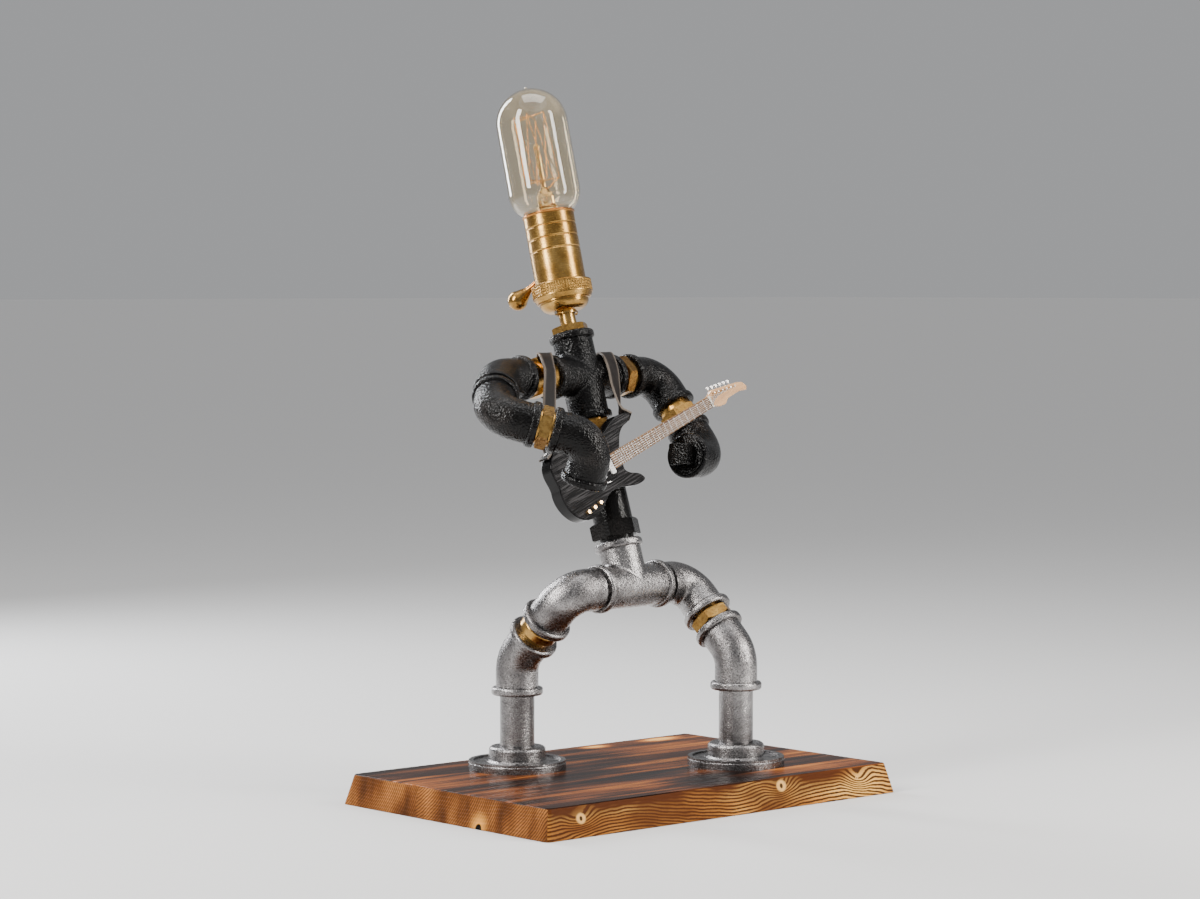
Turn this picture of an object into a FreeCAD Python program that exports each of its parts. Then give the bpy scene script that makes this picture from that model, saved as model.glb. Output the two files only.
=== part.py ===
import FreeCAD, Part
import math
import os

# Table lamp made of half-inch pipe fittings, standing like a musician on a pine board.
# Millimetres. Origin at the middle of the board's underside, +Z up, the front faces -Y.

# Board
board_length = 272.0
board_width = 179.0
board_thick = 18.0
board_splay = 4.3
board_corner_r = 3.0
board_edge_r = 1.2

# Pipe thread and the fittings that take it
thread_r = 10.45
thread_fit = 0.05
pipe_bore_r = 7.8
engage = 12.5
body_r = 12.9
bead_r = 15.6
tee_bead_r = 14.7
arm_body_r = 12.3
arm_bead_r = 13.9
arm_reach = 26.6
bead_width = 5.0
bead_round = 1.7
elbow_reach = 28.0
elbow_bend_r = 14.5
knee_reach = 22.0
knee_bend_r = 20.0
tee_reach = 28.0
cross_side_reach = 29.5
cross_end_reach = 28.0
crotch_round = 3.0

# Hexagons and gaps of the nipples, each gap from one fitting's end face to the next
hex_flats = 24.0
hex_width = 6.5
knee_gap_left = 10.5
knee_gap_right = 8.7
arm_hex_flats = 22.6
shoulder_gap_left = 21.5
upper_arm_gap = 2.4
wrist_gap_left = 8.4
shoulder_gap_right = 12.5
wrist_gap_right = 14.5
neck_nipple_gap = 9.0

# Floor flanges
flange_r = 29.5
flange_plate = 4.5
flange_rim = 1.0
flange_rim_width = 3.0
flange_hub_r = 17.2
flange_height = 13.8
flange_shoulder = 2.6
flange_foot = 1.2
flange_hole_circle = 44.0
flange_hole_r = 2.3
flange_holes = 4
screw_r = 1.9
screw_head_r = 3.9
screw_head_height = 2.2
screw_length = 14.0
screw_slot = 0.9

# Stance
hip_height = 109.4
pelvis_x = 8.0
pelvis_y = 4.0
figure_yaw = 5.0
hip_reach = 24.0
hip_neck = 3.0
spine_lean = 17.4
chest_twist = 1.5
spine_length = 131.7

# Spine extension
spine_r = 12.0
spine_hex_flats = 27.0
spine_hex_height = 10.0
spine_foot_gap = 2.0

# Arms, as turns of each fitting on its thread, in degrees
left_shoulder_turn = 49.8
left_elbow_turn = 8.2
left_wrist_turn = 26.9
right_shoulder_turn = 40.7
right_wrist_turn = 33.0
plug_square = 13.0
plug_head = 8.0
plug_collar_r = 12.0
plug_collar = 2.0

# Guitar
guitar_x = -33.96749
guitar_y = -41.93381
guitar_z = -58.57345
guitar_yaw = -3.3
guitar_lean = 14.6
guitar_rise = 22.4
guitar_thick = 10.0
guitar_edge_r = 0.9
string_length = 116.0
tail_reach = 20.8
neck_heel = 24.5
neck_joint = 31.0
neck_width_nut = 7.2
neck_width_heel = 9.4
neck_thick = 3.6
fretboard_thick = 1.5
fret_count = 24
fret_r = 0.28
nut_width = 1.2
nut_height = 0.6
string_count = 6
string_spacing = 1.25
string_r = 0.16
string_height = 0.85
pickup_length = 14.0
pickup_width = 3.8
pickup_height = 1.0
knob_r = 1.35
knob_height = 2.2
tuner_count = 6
tuner_spacing = 3.5
head_thick = 2.6

# Strap
strap_width = 9.0
strap_thick = 0.9
strap_gap = 0.3
strap_left_x = -28.5
strap_right_x = 25.0
strap_slide_left = 14.4
strap_slide_right = 11.0
strap_end = 3.4
button_r = 1.3
button_length = 2.4

# Lampholder
bushing_flats = 20.0
bushing_height = 4.4
bushing_shank = 9.0
stem_r = 5.0
stem_bore_r = 3.9
stem_length = 9.1
head_tilt = 3.2
cap_throat_r = 6.5
cap_r = 15.2
cap_height = 6.5
cap_wall = 1.2
ring_r = 18.6
ring_height = 7.8
ring_lip = 2.6
knurl_count = 72
knurl_depth = 0.35
shell_r = 15.7
shell_rise = 52.0
shell_wall = 0.8
shell_steps = (8.0, 15.6, 23.2)
shell_step_depth = 0.45
shell_step_width = 1.3
lip_r = 0.9
liner_wall = 0.5
screw_shell_r = 13.45
screw_shell_wall = 0.35
screw_shell_depth = 23.0
insulator_r = 13.9
insulator_height = 21.5
contact_width = 6.0
contact_thick = 0.5
terminal_r = 2.0
terminal_length = 4.0

# Turn switch
knob_azimuth = 110.0
knob_droop = 30.0
knob_ball_r = 6.3
knob_reach = 35.0
knob_stem_r = 1.6
knob_neck_r = 2.2
knob_hole_fit = 0.6

# Bulb
bulb_r = 22.3
bulb_rise = 79.3
bulb_neck_r = 12.6
bulb_throat_r = 13.2
bulb_shoulder = 14.0
bulb_wall = 0.7
cap_tube_r = 12.95
cap_tube_length = 21.0
cap_tip_r = 5.0
cap_tip_height = 2.0
cap_glass_height = 3.0
contact_gap = 0.3
glass_stem_r = 5.5
glass_stem_height = 27.0
cage_r = 11.0
cage_turns = 6
filament_r = 0.22
wire_r = 0.35

# Lead inside the pipes
lead_r = 2.6
lead_bend_r = 18.0
lead_base_bend_r = 10.0
lead_tee_bend_r = 12.0
lead_join = 14.0
lead_height = 5.0
channel_width = 9.0
channel_depth = 12.0
inlet_depth = 12.0
inlet_r = 4.5
inlet_face = 2.2
grommet_flange_r = 4.7
grommet_flange = 2.0
core_r = 0.9

V = FreeCAD.Vector
X = V(1, 0, 0)
Y = V(0, 1, 0)
Z = V(0, 0, 1)
origin = V(0, 0, 0)


# Frames: each one is a rotation and a place, and the next one hangs from it

def turn(axis, degrees):
    return FreeCAD.Placement(origin, FreeCAD.Rotation(axis, degrees))


def shift(vector):
    return FreeCAD.Placement(vector, FreeCAD.Rotation())


def facing(place, axis):
    """Frame at a place whose own +Z runs along the given axis."""
    return FreeCAD.Placement(place, FreeCAD.Rotation(Z, axis))


def place_of(frame, x=0.0, y=0.0, z=0.0):
    return frame.multVec(V(x, y, z))


def axis_of(frame, axis):
    return frame.Rotation.multVec(axis)


def placed(shape, frame):
    moved = shape.copy()
    moved.Placement = frame.multiply(moved.Placement)
    return moved


hip_z = board_thick + hip_height
figure = shift(V(pelvis_x, pelvis_y, hip_z)).multiply(turn(Z, figure_yaw))
torso = figure.multiply(turn(X, -spine_lean))
chest = torso.multiply(shift(V(0, 0, spine_length))).multiply(turn(Z, chest_twist))
neck_top = cross_end_reach + bushing_height + stem_length
head = chest.multiply(shift(V(0, 0, neck_top))).multiply(turn(X, head_tilt))
guitar_turn = turn(Z, guitar_yaw).multiply(turn(X, -guitar_lean)).multiply(turn(Y, -guitar_rise))
guitar = shift(chest.Base + V(guitar_x, guitar_y, guitar_z)).multiply(guitar_turn)


# Pipe fittings, each with its middle at the origin

def rod(radius, start, end, axis=Z):
    return Part.makeCylinder(radius, end - start, axis * start, axis)


def bead(axis, reach, radius):
    """Rounded band round the mouth of a fitting."""
    ring = Part.makeCylinder(radius, bead_width, axis * (reach - bead_width), axis)
    rims = [e for e in ring.Edges if e.Curve.TypeId == "Part::GeomCircle"]
    return ring.makeFillet(bead_round, rims)


def bent_tube(radius, first, second, bend_r, reach_first, reach_second):
    """Solid bend from one mouth to the other through the crossing of two axes."""
    half = first.getAngle(second) / 2
    cut = bend_r / math.tan(half)
    centre = (first + second).normalize() * (bend_r / math.sin(half))
    disc = Part.Face(Part.Wire(Part.Circle(first * cut, first, radius).toShape()))
    bend = disc.revolve(centre, first.cross(second), math.degrees(2 * half) - 180)
    runs = [Part.makeCylinder(radius, reach_first - cut, first * cut, first),
            Part.makeCylinder(radius, reach_second - cut, second * cut, second)]
    return bend.multiFuse(runs)


def elbow(first, second, bend_r, reach, girth, mouth):
    """Elbow with a threaded mouth at each end."""
    outside = bent_tube(girth, first, second, bend_r, reach, reach)
    outside = outside.multiFuse([bead(first, reach, mouth), bead(second, reach, mouth)])
    bore = bent_tube(thread_r + thread_fit, first, second, bend_r, reach + 1, reach + 1)
    return outside.cut(bore).removeSplitter()


def street_elbow(female, male):
    """Elbow with one threaded mouth and one threaded tail."""
    tail = hip_reach - hip_neck
    outside = bent_tube(body_r, female, male, elbow_bend_r, elbow_reach, tail)
    outside = outside.multiFuse([bead(female, elbow_reach, bead_r), rod(thread_r, tail - 1, hip_reach + engage, male)])
    bore = bent_tube(pipe_bore_r, female, male, elbow_bend_r, elbow_reach + 1, hip_reach + engage + 1)
    socket = rod(thread_r + thread_fit, elbow_bend_r, elbow_reach + 1, female)
    return outside.cut(bore).cut(socket).removeSplitter()


def branched(ports, girth, mouth):
    """Tee or cross from a list of axis and reach pairs, with rounded crotches."""
    arms = [rod(girth, 0, reach, axis) for axis, reach in ports]
    outside = arms[0].multiFuse(arms[1:]).removeSplitter()
    near = girth * 1.6
    crotch = [e for e in outside.Edges if e.CenterOfMass.Length < near and len(e.Vertexes) == 2
              and e.Curve.TypeId != "Part::GeomCircle" and e.Curve.TypeId != "Part::GeomLine"]
    outside = outside.makeFillet(crotch_round, crotch)
    outside = outside.multiFuse([bead(axis, reach, mouth) for axis, reach in ports])
    bores = [rod(thread_r + thread_fit, 0, reach + 1, axis) for axis, reach in ports]
    return outside.cut(bores[0].multiFuse(bores[1:])).removeSplitter()


def hexagon(flats, start, end):
    corners = [V(math.cos(math.radians(60 * i + 30)), math.sin(math.radians(60 * i + 30)), 0) * (flats / math.sqrt(3))
               for i in range(7)]
    face = Part.Face(Part.makePolygon(corners))
    prism = face.extrude(Z * (end - start))
    prism.translate(Z * start)
    blunt = Part.makeCone(flats / 2 + 3.2, flats / 2 + 0.6, 1.5, Z * (end - 1.5), Z)
    blunt = blunt.fuse(Part.makeCone(flats / 2 + 0.6, flats / 2 + 3.2, 1.5, Z * start, Z))
    blunt = blunt.fuse(Part.makeCylinder(flats / 2 + 3.2, max(end - start - 3.0, 0.2), Z * (start + 1.5), Z))
    return prism.common(blunt)


def nipple(gap, collar):
    """Nipple along +Z from the first fitting's mouth, with its collar in the gap's middle."""
    tube = rod(thread_r, -engage, gap + engage)
    if collar:
        tube = tube.fuse(collar)
    return tube.cut(rod(pipe_bore_r, -engage - 1, gap + engage + 1)).removeSplitter()


def hex_nipple(gap, flats):
    start = (gap - hex_width) / 2
    return nipple(gap, hexagon(flats, start, start + hex_width))


def round_nipple(gap):
    start = (gap - hex_width) / 2
    ring = rod(hex_flats / 2, start, start + hex_width)
    rims = [e for e in ring.Edges if e.Curve.TypeId == "Part::GeomCircle"]
    return nipple(gap, ring.makeFillet(1.2, rims))


# Board with the lead's way out, under the left foot

knee_drop = math.sin(math.radians(45))


def leg_frame(side):
    """Frame at a leg's knee: +Z runs up the thigh to the hip."""
    gap = knee_gap_left if side < 0 else knee_gap_right
    thigh = elbow_reach + gap + knee_reach
    hip = V(side * (tee_reach + hip_reach), 0, 0)
    knee = hip + V(0, -side * knee_drop, -knee_drop) * thigh
    return knee, V(0, side * knee_drop, knee_drop), gap


def foot_place(side):
    knee = figure.multVec(leg_frame(side)[0])
    return V(knee.x, knee.y, board_thick)


def rounded_rectangle(length, width, radius, height):
    a = length / 2
    b = width / 2
    c = radius * (1 - knee_drop)
    edges = []
    for i, (sx, sy) in enumerate([(1, 1), (-1, 1), (-1, -1), (1, -1)]):
        first = V(sx * a, sy * (b - radius), height)
        last = V(sx * (a - radius), sy * b, height)
        middle = V(sx * (a - c), sy * (b - c), height)
        if i % 2:
            first, last = last, first
        edges.append((first, middle, last))
    shape = []
    for i, (first, middle, last) in enumerate(edges):
        shape.append(Part.Arc(first, middle, last).toShape())
        shape.append(Part.LineSegment(last, edges[(i + 1) % 4][0]).toShape())
    return Part.Wire(shape)


def base_board():
    top = rounded_rectangle(board_length, board_width, board_corner_r, board_thick)
    foot = rounded_rectangle(board_length + 2 * board_splay, board_width + 2 * board_splay, board_corner_r, 0)
    board = Part.makeLoft([foot, top], True, True)
    rim = [e for e in board.Edges if e.BoundBox.ZMin > board_thick - 0.01]
    board = board.makeFillet(board_edge_r, rim)
    foot = foot_place(-1)
    back = board_width / 2 + board_splay
    length = back - inlet_depth - foot.y + channel_width / 2
    channel = Part.makeBox(channel_width, length, channel_depth + 1,
                           V(foot.x - channel_width / 2, foot.y - channel_width / 2, -1))
    shaft = rod(channel_width / 2, -1, board_thick + 1)
    shaft.translate(V(foot.x, foot.y, 0))
    inlet = Part.makeCylinder(inlet_r, inlet_depth + 2, V(foot.x, back - inlet_depth - 1, lead_height), Y)
    seat = Part.makeCylinder(grommet_flange_r + 0.3, inlet_face + 1, V(foot.x, back - inlet_face, lead_height), Y)
    board = board.cut(channel.multiFuse([shaft, inlet, seat]))
    for place in screw_places():
        board = board.cut(Part.makeCylinder(screw_r, screw_length, place - Z * screw_length, Z))
    return board


def cord_grommet():
    foot = foot_place(-1)
    back = board_width / 2 + board_splay
    barrel = Part.makeCylinder(inlet_r - 0.02, inlet_depth - inlet_face, V(foot.x, back - inlet_depth, lead_height), Y)
    flange = Part.makeCylinder(grommet_flange_r, grommet_flange, V(foot.x, back - inlet_face, lead_height), Y)
    hole = Part.makeCylinder(lead_r + 0.02, inlet_depth + 4, V(foot.x, back - inlet_depth - 1, lead_height), Y)
    return barrel.fuse(flange).cut(hole).removeSplitter()


# Feet

def floor_flange(side):
    plate = rod(flange_r, 0, flange_plate)
    top = [e for e in plate.Edges if e.BoundBox.ZMin > flange_plate - 0.01]
    plate = plate.makeFillet(1.0, top)
    rim = rod(flange_r - 0.2, 0, flange_plate + flange_rim).cut(
        rod(flange_r - flange_rim_width, -1, flange_plate + flange_rim + 1))
    hub = rod(flange_hub_r, 0, flange_height)
    shoulder = [e for e in hub.Edges if e.BoundBox.ZMin > flange_height - 0.01]
    hub = hub.makeFillet(flange_shoulder, shoulder)
    foot = Part.makeCone(flange_hub_r + flange_foot, flange_hub_r, flange_foot, Z * flange_plate, Z)
    flange = plate.multiFuse([rim, hub, foot])
    flange = flange.cut(rod(thread_r + thread_fit, -1, flange_height + 1))
    for x, y in hole_ring():
        hole = Part.makeCylinder(flange_hole_r, flange_plate + 4, V(x, y, -1), Z)
        sink = Part.makeCone(flange_hole_r, screw_head_r + 0.3, screw_head_height,
                             V(x, y, flange_plate - screw_head_height), Z)
        above = Part.makeCylinder(screw_head_r + 0.3, 4, V(x, y, flange_plate), Z)
        flange = flange.cut(hole.multiFuse([sink, above]))
    return placed(flange.removeSplitter(), shift(foot_place(side)).multiply(turn(Z, figure_yaw)))


def hole_ring():
    step = 2 * math.pi / flange_holes
    reach = flange_hole_circle / 2
    return [(reach * math.cos(step * (i + 0.5)), reach * math.sin(step * (i + 0.5))) for i in range(flange_holes)]


def screw_places():
    places = []
    for side in (-1, 1):
        frame = shift(foot_place(side)).multiply(turn(Z, figure_yaw))
        places += [place_of(frame, x, y, 0) for x, y in hole_ring()]
    return places


def flange_screws():
    screws = []
    for place in screw_places():
        shank = Part.makeCylinder(screw_r - 0.05, screw_length - 1, place - Z * (screw_length - 1), Z)
        shank = shank.fuse(Part.makeCylinder(screw_r - 0.05, flange_plate - screw_head_height, place, Z))
        crown = place + Z * (flange_plate - screw_head_height)
        top = Part.makeCone(screw_r, screw_head_r, screw_head_height, crown, Z)
        slot = Part.makeBox(3 * screw_head_r, screw_slot, 1.0)
        slot.translate(place + V(-1.5 * screw_head_r, -screw_slot / 2, flange_plate - 0.8))
        screws.append(shank.fuse(top).cut(slot).removeSplitter())
    return Part.makeCompound(screws)


def leg_nipple(side):
    knee = figure.multVec(leg_frame(side)[0])
    start = board_thick + 1.0
    end = knee.z - knee_reach + engage
    tube = rod(thread_r, start, end).cut(rod(pipe_bore_r, start - 1, end + 1))
    tube.translate(V(knee.x, knee.y, 0))
    return tube


def knee_elbow(side):
    knee, thigh, gap = leg_frame(side)
    return placed(placed(elbow(V(0, 0, -1), thigh, knee_bend_r, knee_reach, body_r, bead_r), shift(knee)), figure)


def knee_nipple(side):
    knee, thigh, gap = leg_frame(side)
    shape = round_nipple(gap) if side < 0 else hex_nipple(gap, hex_flats)
    return placed(shape, figure.multiply(facing(knee + thigh * knee_reach, thigh)))


def hip_elbow(side):
    hip = V(side * (tee_reach + hip_reach), 0, 0)
    knee, thigh, gap = leg_frame(side)
    return placed(placed(street_elbow(thigh * -1, X * -side), shift(hip)), figure)


# Trunk

def pelvis_tee():
    return placed(branched([(X * -1, tee_reach), (X, tee_reach), (Z, tee_reach)], body_r, tee_bead_r), torso)


def spine_extension():
    foot = tee_reach + spine_foot_gap
    end = spine_length - cross_end_reach - neck_nipple_gap
    tail = rod(thread_r, tee_reach - engage, foot + 1)
    tube = rod(spine_r, foot, end)
    nut = hexagon(spine_hex_flats, foot, foot + spine_hex_height)
    bore = rod(pipe_bore_r, tee_reach - engage - 1, end + 1)
    socket = rod(thread_r + thread_fit, end - engage - 2, end + 1)
    return placed(tail.multiFuse([tube, nut]).cut(bore.fuse(socket)).removeSplitter(), torso)


def chest_nipple():
    start = spine_length - cross_end_reach - neck_nipple_gap
    return placed(hex_nipple(neck_nipple_gap, arm_hex_flats), torso.multiply(shift(Z * start)))


def chest_cross():
    sides = [(X * -1, cross_side_reach), (X, cross_side_reach)]
    ends = [(Z * -1, cross_end_reach), (Z, cross_end_reach)]
    return placed(branched(sides + ends, arm_body_r, arm_bead_r), chest)


# Arms: each list holds the fitting's place and the axes that meet there, in the chest's frame

def rotated(vector, axis, degrees):
    return FreeCAD.Rotation(axis, degrees).multVec(vector)


def left_arm():
    """Places and axes of the left arm's three elbows."""
    out = X * -1
    shoulder = out * (cross_side_reach + shoulder_gap_left + knee_reach)
    side = rotated(V(0, -1, 0), X, left_shoulder_turn)
    upper = (out + side).normalize()
    elbow_place = shoulder + upper * (knee_reach + upper_arm_gap + arm_reach)
    inward = (X - upper * upper.dot(X)).normalize()
    fore = rotated(inward, upper, left_elbow_turn)
    hand_place = elbow_place + fore * (2 * arm_reach + wrist_gap_left)
    down = (Z * -1 + fore * fore.z).normalize()
    hand = rotated(down, fore, left_wrist_turn)
    return shoulder, out, upper, elbow_place, fore, hand_place, hand


def right_arm():
    """Places and axes of the right arm's two elbows."""
    shoulder = X * (cross_side_reach + shoulder_gap_right + arm_reach)
    upper = rotated(V(0, 0, -1), X, -right_shoulder_turn + spine_lean)
    hand_place = shoulder + upper * (2 * arm_reach + wrist_gap_right)
    towards = V(-0.66, -0.75, 0)
    level = (towards - upper * upper.dot(towards)).normalize()
    hand = rotated(level, upper, right_wrist_turn)
    return shoulder, upper, hand_place, hand


def left_shoulder_nipple():
    return placed(hex_nipple(shoulder_gap_left, arm_hex_flats), chest.multiply(facing(X * -cross_side_reach, X * -1)))


def left_shoulder_elbow():
    shoulder, out, upper = left_arm()[:3]
    return placed(placed(elbow(out * -1, upper, knee_bend_r, knee_reach, arm_body_r, arm_bead_r), shift(shoulder)), chest)


def left_upper_arm_nipple():
    shoulder, out, upper = left_arm()[:3]
    frame = facing(shoulder + upper * knee_reach, upper)
    return placed(nipple(upper_arm_gap, None), chest.multiply(frame))


def left_elbow():
    upper, place, fore = left_arm()[2:5]
    return placed(placed(elbow(upper * -1, fore, elbow_bend_r, arm_reach, arm_body_r, arm_bead_r), shift(place)), chest)


def left_wrist_nipple():
    place, fore = left_arm()[3:5]
    return placed(hex_nipple(wrist_gap_left, arm_hex_flats), chest.multiply(facing(place + fore * arm_reach, fore)))


def left_hand_elbow():
    fore, place, hand = left_arm()[4:]
    return placed(placed(elbow(fore * -1, hand, elbow_bend_r, arm_reach, arm_body_r, arm_bead_r), shift(place)), chest)


def right_shoulder_nipple():
    return placed(hex_nipple(shoulder_gap_right, arm_hex_flats), chest.multiply(facing(X * cross_side_reach, X)))


def right_arm_elbow():
    shoulder, upper = right_arm()[:2]
    return placed(placed(elbow(X * -1, upper, elbow_bend_r, arm_reach, arm_body_r, arm_bead_r), shift(shoulder)), chest)


def right_wrist_nipple():
    shoulder, upper = right_arm()[:2]
    return placed(hex_nipple(wrist_gap_right, arm_hex_flats), chest.multiply(facing(shoulder + upper * arm_reach, upper)))


def right_hand_elbow():
    upper, place, hand = right_arm()[1:]
    return placed(placed(elbow(upper * -1, hand, elbow_bend_r, arm_reach, arm_body_r, arm_bead_r), shift(place)), chest)


def right_hand_plug():
    upper, place, hand = right_arm()[1:]
    half = plug_square / 2
    square = Part.makeBox(plug_square, plug_square, plug_head, V(-half, -half, plug_collar))
    corners = [e for e in square.Edges if abs(e.tangentAt(e.FirstParameter).z) > 0.9]
    square = square.makeFillet(1.2, corners)
    collar = rod(plug_collar_r, 0.2, plug_collar + 0.2)
    plug = rod(thread_r, -engage + 2, 0.3).multiFuse([collar, square])
    plug = plug.cut(rod(pipe_bore_r - 1, -engage, -3)).removeSplitter()
    return placed(plug, chest.multiply(facing(place + hand * arm_reach, hand)))


# Guitar: x runs up the neck from the bridge, z across to the thick string, y to the back

def guitar_outline():
    """Points round the body as pairs of reach along the neck and reach across."""
    tail = [(-tail_reach, 0), (0.2 - tail_reach, -12), (-13.5, -21.6), (0, -22.8), (14, -15.8), (27, -17.6)]
    lower_horn = [(38, -20.4), (42.6, -19.2), (41, -15.6), (34.5, -11.6), (31.5, -7.5)]
    pocket = [(neck_joint + 2.5, -2.5), (neck_joint + 3, 0), (neck_joint + 3.5, 3)]
    upper_horn = [(37, 7.5), (40, 11.5), (46, 15), (52, 16.6), (54, 19.3), (49, 21.8), (38, 21)]
    back = [(22, 15.6), (8, 17.8), (-4, 22.6), (-14, 21.2), (0.6 - tail_reach, 12)]
    return tail + lower_horn + pocket + upper_horn + back


def guitar_body():
    curve = Part.BSplineCurve()
    curve.interpolate(Points=[V(x, 0, z) for x, z in guitar_outline()], PeriodicFlag=True)
    slab = Part.Face(Part.Wire(curve.toShape())).extrude(Y * guitar_thick)
    rims = [e for e in slab.Edges if e.Length > 100]
    slab = slab.makeFillet(guitar_edge_r, rims)
    width = neck_width_heel + 0.1
    pocket = Part.makeBox(60, neck_thick + 1.05, width, V(neck_heel - 0.05, -1, -width / 2))
    slab = slab.cut(pocket)
    for place in pickup_places():
        half = pickup_length / 2
        slab = slab.cut(Part.makeBox(pickup_width, 3.5, pickup_length, V(place, -1, -half)))
    for place, axis in button_places():
        slab = slab.cut(Part.makeCylinder(button_r * 0.6 + 0.02, 4.0, place - axis * 2.0, axis))
    return placed(slab, guitar)


def neck_half_width(x):
    part = (x - neck_heel) / (string_length - neck_heel)
    return (neck_width_heel + part * (neck_width_nut - neck_width_heel)) / 2


def head_outline():
    """Points round the headstock past the nut."""
    n = string_length
    half = neck_width_nut / 2
    upper = [(n, half), (n + 2.5, half + 0.6), (n + 5, half + 2.4), (n + 27, half - 1.6)]
    tip = [(n + 31, half - 3.2), (n + 33, half - 6.6), (n + 31.6, half - 8.8)]
    lower = [(n + 28, half - 7.4), (n + 22, -3.5), (n + 15, -3.8), (n + 11, -6), (n + 6, -5.6), (n + 3, -half)]
    return upper + tip + lower + [(n, -half)]


def guitar_neck():
    heel = neck_half_width(neck_heel)
    nut = neck_half_width(string_length)
    sections = []
    for x, half, deep in [(neck_heel, heel, neck_thick), (string_length, nut, neck_thick - 0.6)]:
        arc = Part.Arc(V(x, deep * 0.45, half), V(x, deep, 0), V(x, deep * 0.45, -half)).toShape()
        edges = [Part.LineSegment(V(x, 0, -half), V(x, 0, half)).toShape(),
                 Part.LineSegment(V(x, 0, half), V(x, deep * 0.45, half)).toShape(), arc,
                 Part.LineSegment(V(x, deep * 0.45, -half), V(x, 0, -half)).toShape()]
        sections.append(Part.Wire(edges))
    neck = Part.makeLoft(sections, True, True)
    points = [V(x, 0, z) for x, z in head_outline()]
    stock = Part.Face(Part.makePolygon(points + points[:1])).extrude(Y * head_thick)
    upright = [e for e in stock.Edges if abs(e.tangentAt(e.FirstParameter).y) > 0.9
               and e.BoundBox.XMin > string_length + 1]
    stock = stock.makeFillet(0.7, upright)
    return placed(neck.fuse(stock).removeSplitter(), guitar)


def guitar_fretboard():
    heel = neck_half_width(neck_heel)
    nut = neck_half_width(string_length)
    end = string_length - nut_width
    corners = [V(neck_heel, 0, -heel), V(neck_heel, 0, heel), V(end, 0, nut), V(end, 0, -nut)]
    board = Part.Face(Part.makePolygon(corners + corners[:1])).extrude(Y * -fretboard_thick)
    return placed(board, guitar)


def guitar_frets():
    frets = []
    for i in range(1, fret_count + 1):
        x = string_length * 2 ** (-i / 12)
        if x > neck_heel + 1:
            half = neck_half_width(x)
            frets.append(Part.makeCylinder(fret_r, 2 * half, V(x, -fretboard_thick, -half), Z))
    return placed(Part.makeCompound(frets), guitar)


def guitar_nut():
    half = neck_half_width(string_length)
    height = fretboard_thick + nut_height
    nut = Part.makeBox(nut_width, height, 2 * half, V(string_length - nut_width, -height, -half))
    return placed(nut, guitar)


def string_rows():
    return [(i - (string_count - 1) / 2) * string_spacing for i in range(string_count)]


def guitar_strings():
    level = -fretboard_thick - string_height
    strings = []
    for i, z in enumerate(string_rows()):
        start = V(1.2, level, z * 1.15)
        nut = V(string_length - nut_width / 2, level, z * 0.85)
        post = V(*tuner_place(i))
        end = V(post.x, -0.9, post.z - 0.5)
        for a, b in ((start, nut), (nut, end)):
            strings.append(Part.makeCylinder(string_r, (b - a).Length, a, b - a))
    pairs = [strings[i].fuse(strings[i + 1]) for i in range(0, len(strings), 2)]
    return placed(Part.makeCompound(pairs), guitar)


def guitar_bridge():
    level = fretboard_thick + string_height
    plate = Part.makeBox(5.0, 0.8, 10.5, V(-3.2, -0.8, -5.25))
    saddles = [Part.makeBox(3.2, level - 0.8 - string_r, 1.1, V(-2.0, -level + string_r, z * 1.15 - 0.55))
               for z in string_rows()]
    bridge = plate.multiFuse(saddles).removeSplitter()
    return placed(Part.makeCompound([bridge, tremolo_arm()]), guitar)


def pickup_places():
    return (20.2, 11.8, 4.2)


def guitar_pickups():
    half = pickup_length / 2 - 0.1
    pickups = []
    for place in pickup_places():
        block = Part.makeBox(pickup_width - 0.2, 2.5 + pickup_height, 2 * half, V(place + 0.1, -pickup_height, -half))
        corners = [e for e in block.Edges if abs(e.tangentAt(e.FirstParameter).y) > 0.9]
        pickups.append(block.makeFillet(1.0, corners))
    return placed(Part.makeCompound(pickups), guitar)


def guitar_knobs():
    knobs = []
    for i in range(3):
        place = V(-9.4 + 5.6 * i, 0, -18.6 + 0.6 * i)
        dial = Part.makeCone(knob_r, knob_r * 0.85, knob_height, place, Y * -1)
        knobs.append(dial)
    return placed(Part.makeCompound(knobs), guitar)


def tremolo_arm():
    rise = fretboard_thick
    foot = V(0.6, 0, -7.4)
    post = Part.makeCylinder(0.4, rise, foot, Y * -1)
    arm = Part.makeCylinder(0.4, 15.5, foot - Y * rise, V(1, 0, -0.16))
    return post.multiFuse([arm, Part.makeSphere(0.4, foot - Y * rise)]).removeSplitter()


def tuner_place(i):
    x = string_length + 5.6 + tuner_spacing * i
    return x, 0.0, neck_width_nut / 2 + 0.1 - 0.16 * tuner_spacing * i


def guitar_tuners():
    tuners = []
    for i in range(tuner_count):
        x, y, z = tuner_place(i)
        post = Part.makeCylinder(0.5, head_thick + 2.0, V(x, -1.6, z), Y)
        shaft = Part.makeCylinder(0.35, 3.6, V(x, head_thick + 0.5, z), Z)
        button = Part.makeCylinder(0.95, 0.9, V(x, head_thick + 0.05, z + 4.0), Y)
        case = Part.makeBox(2.2, 1.0, 2.4, V(x - 1.1, head_thick + 0.02, z - 1.2))
        tuners.append(post.multiFuse([shaft, button, case]).removeSplitter())
    return placed(Part.makeCompound(tuners), guitar)


def button_places():
    """Tail and horn buttons as places and outward axes, in the guitar's frame."""
    tail = (V(-14.0, guitar_thick / 2, 21.2), V(-0.35, 0, 1).normalize())
    horn = (V(53.8, guitar_thick / 2, 19.3), V(0.9, 0, 0.42).normalize())
    return tail, horn


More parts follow.
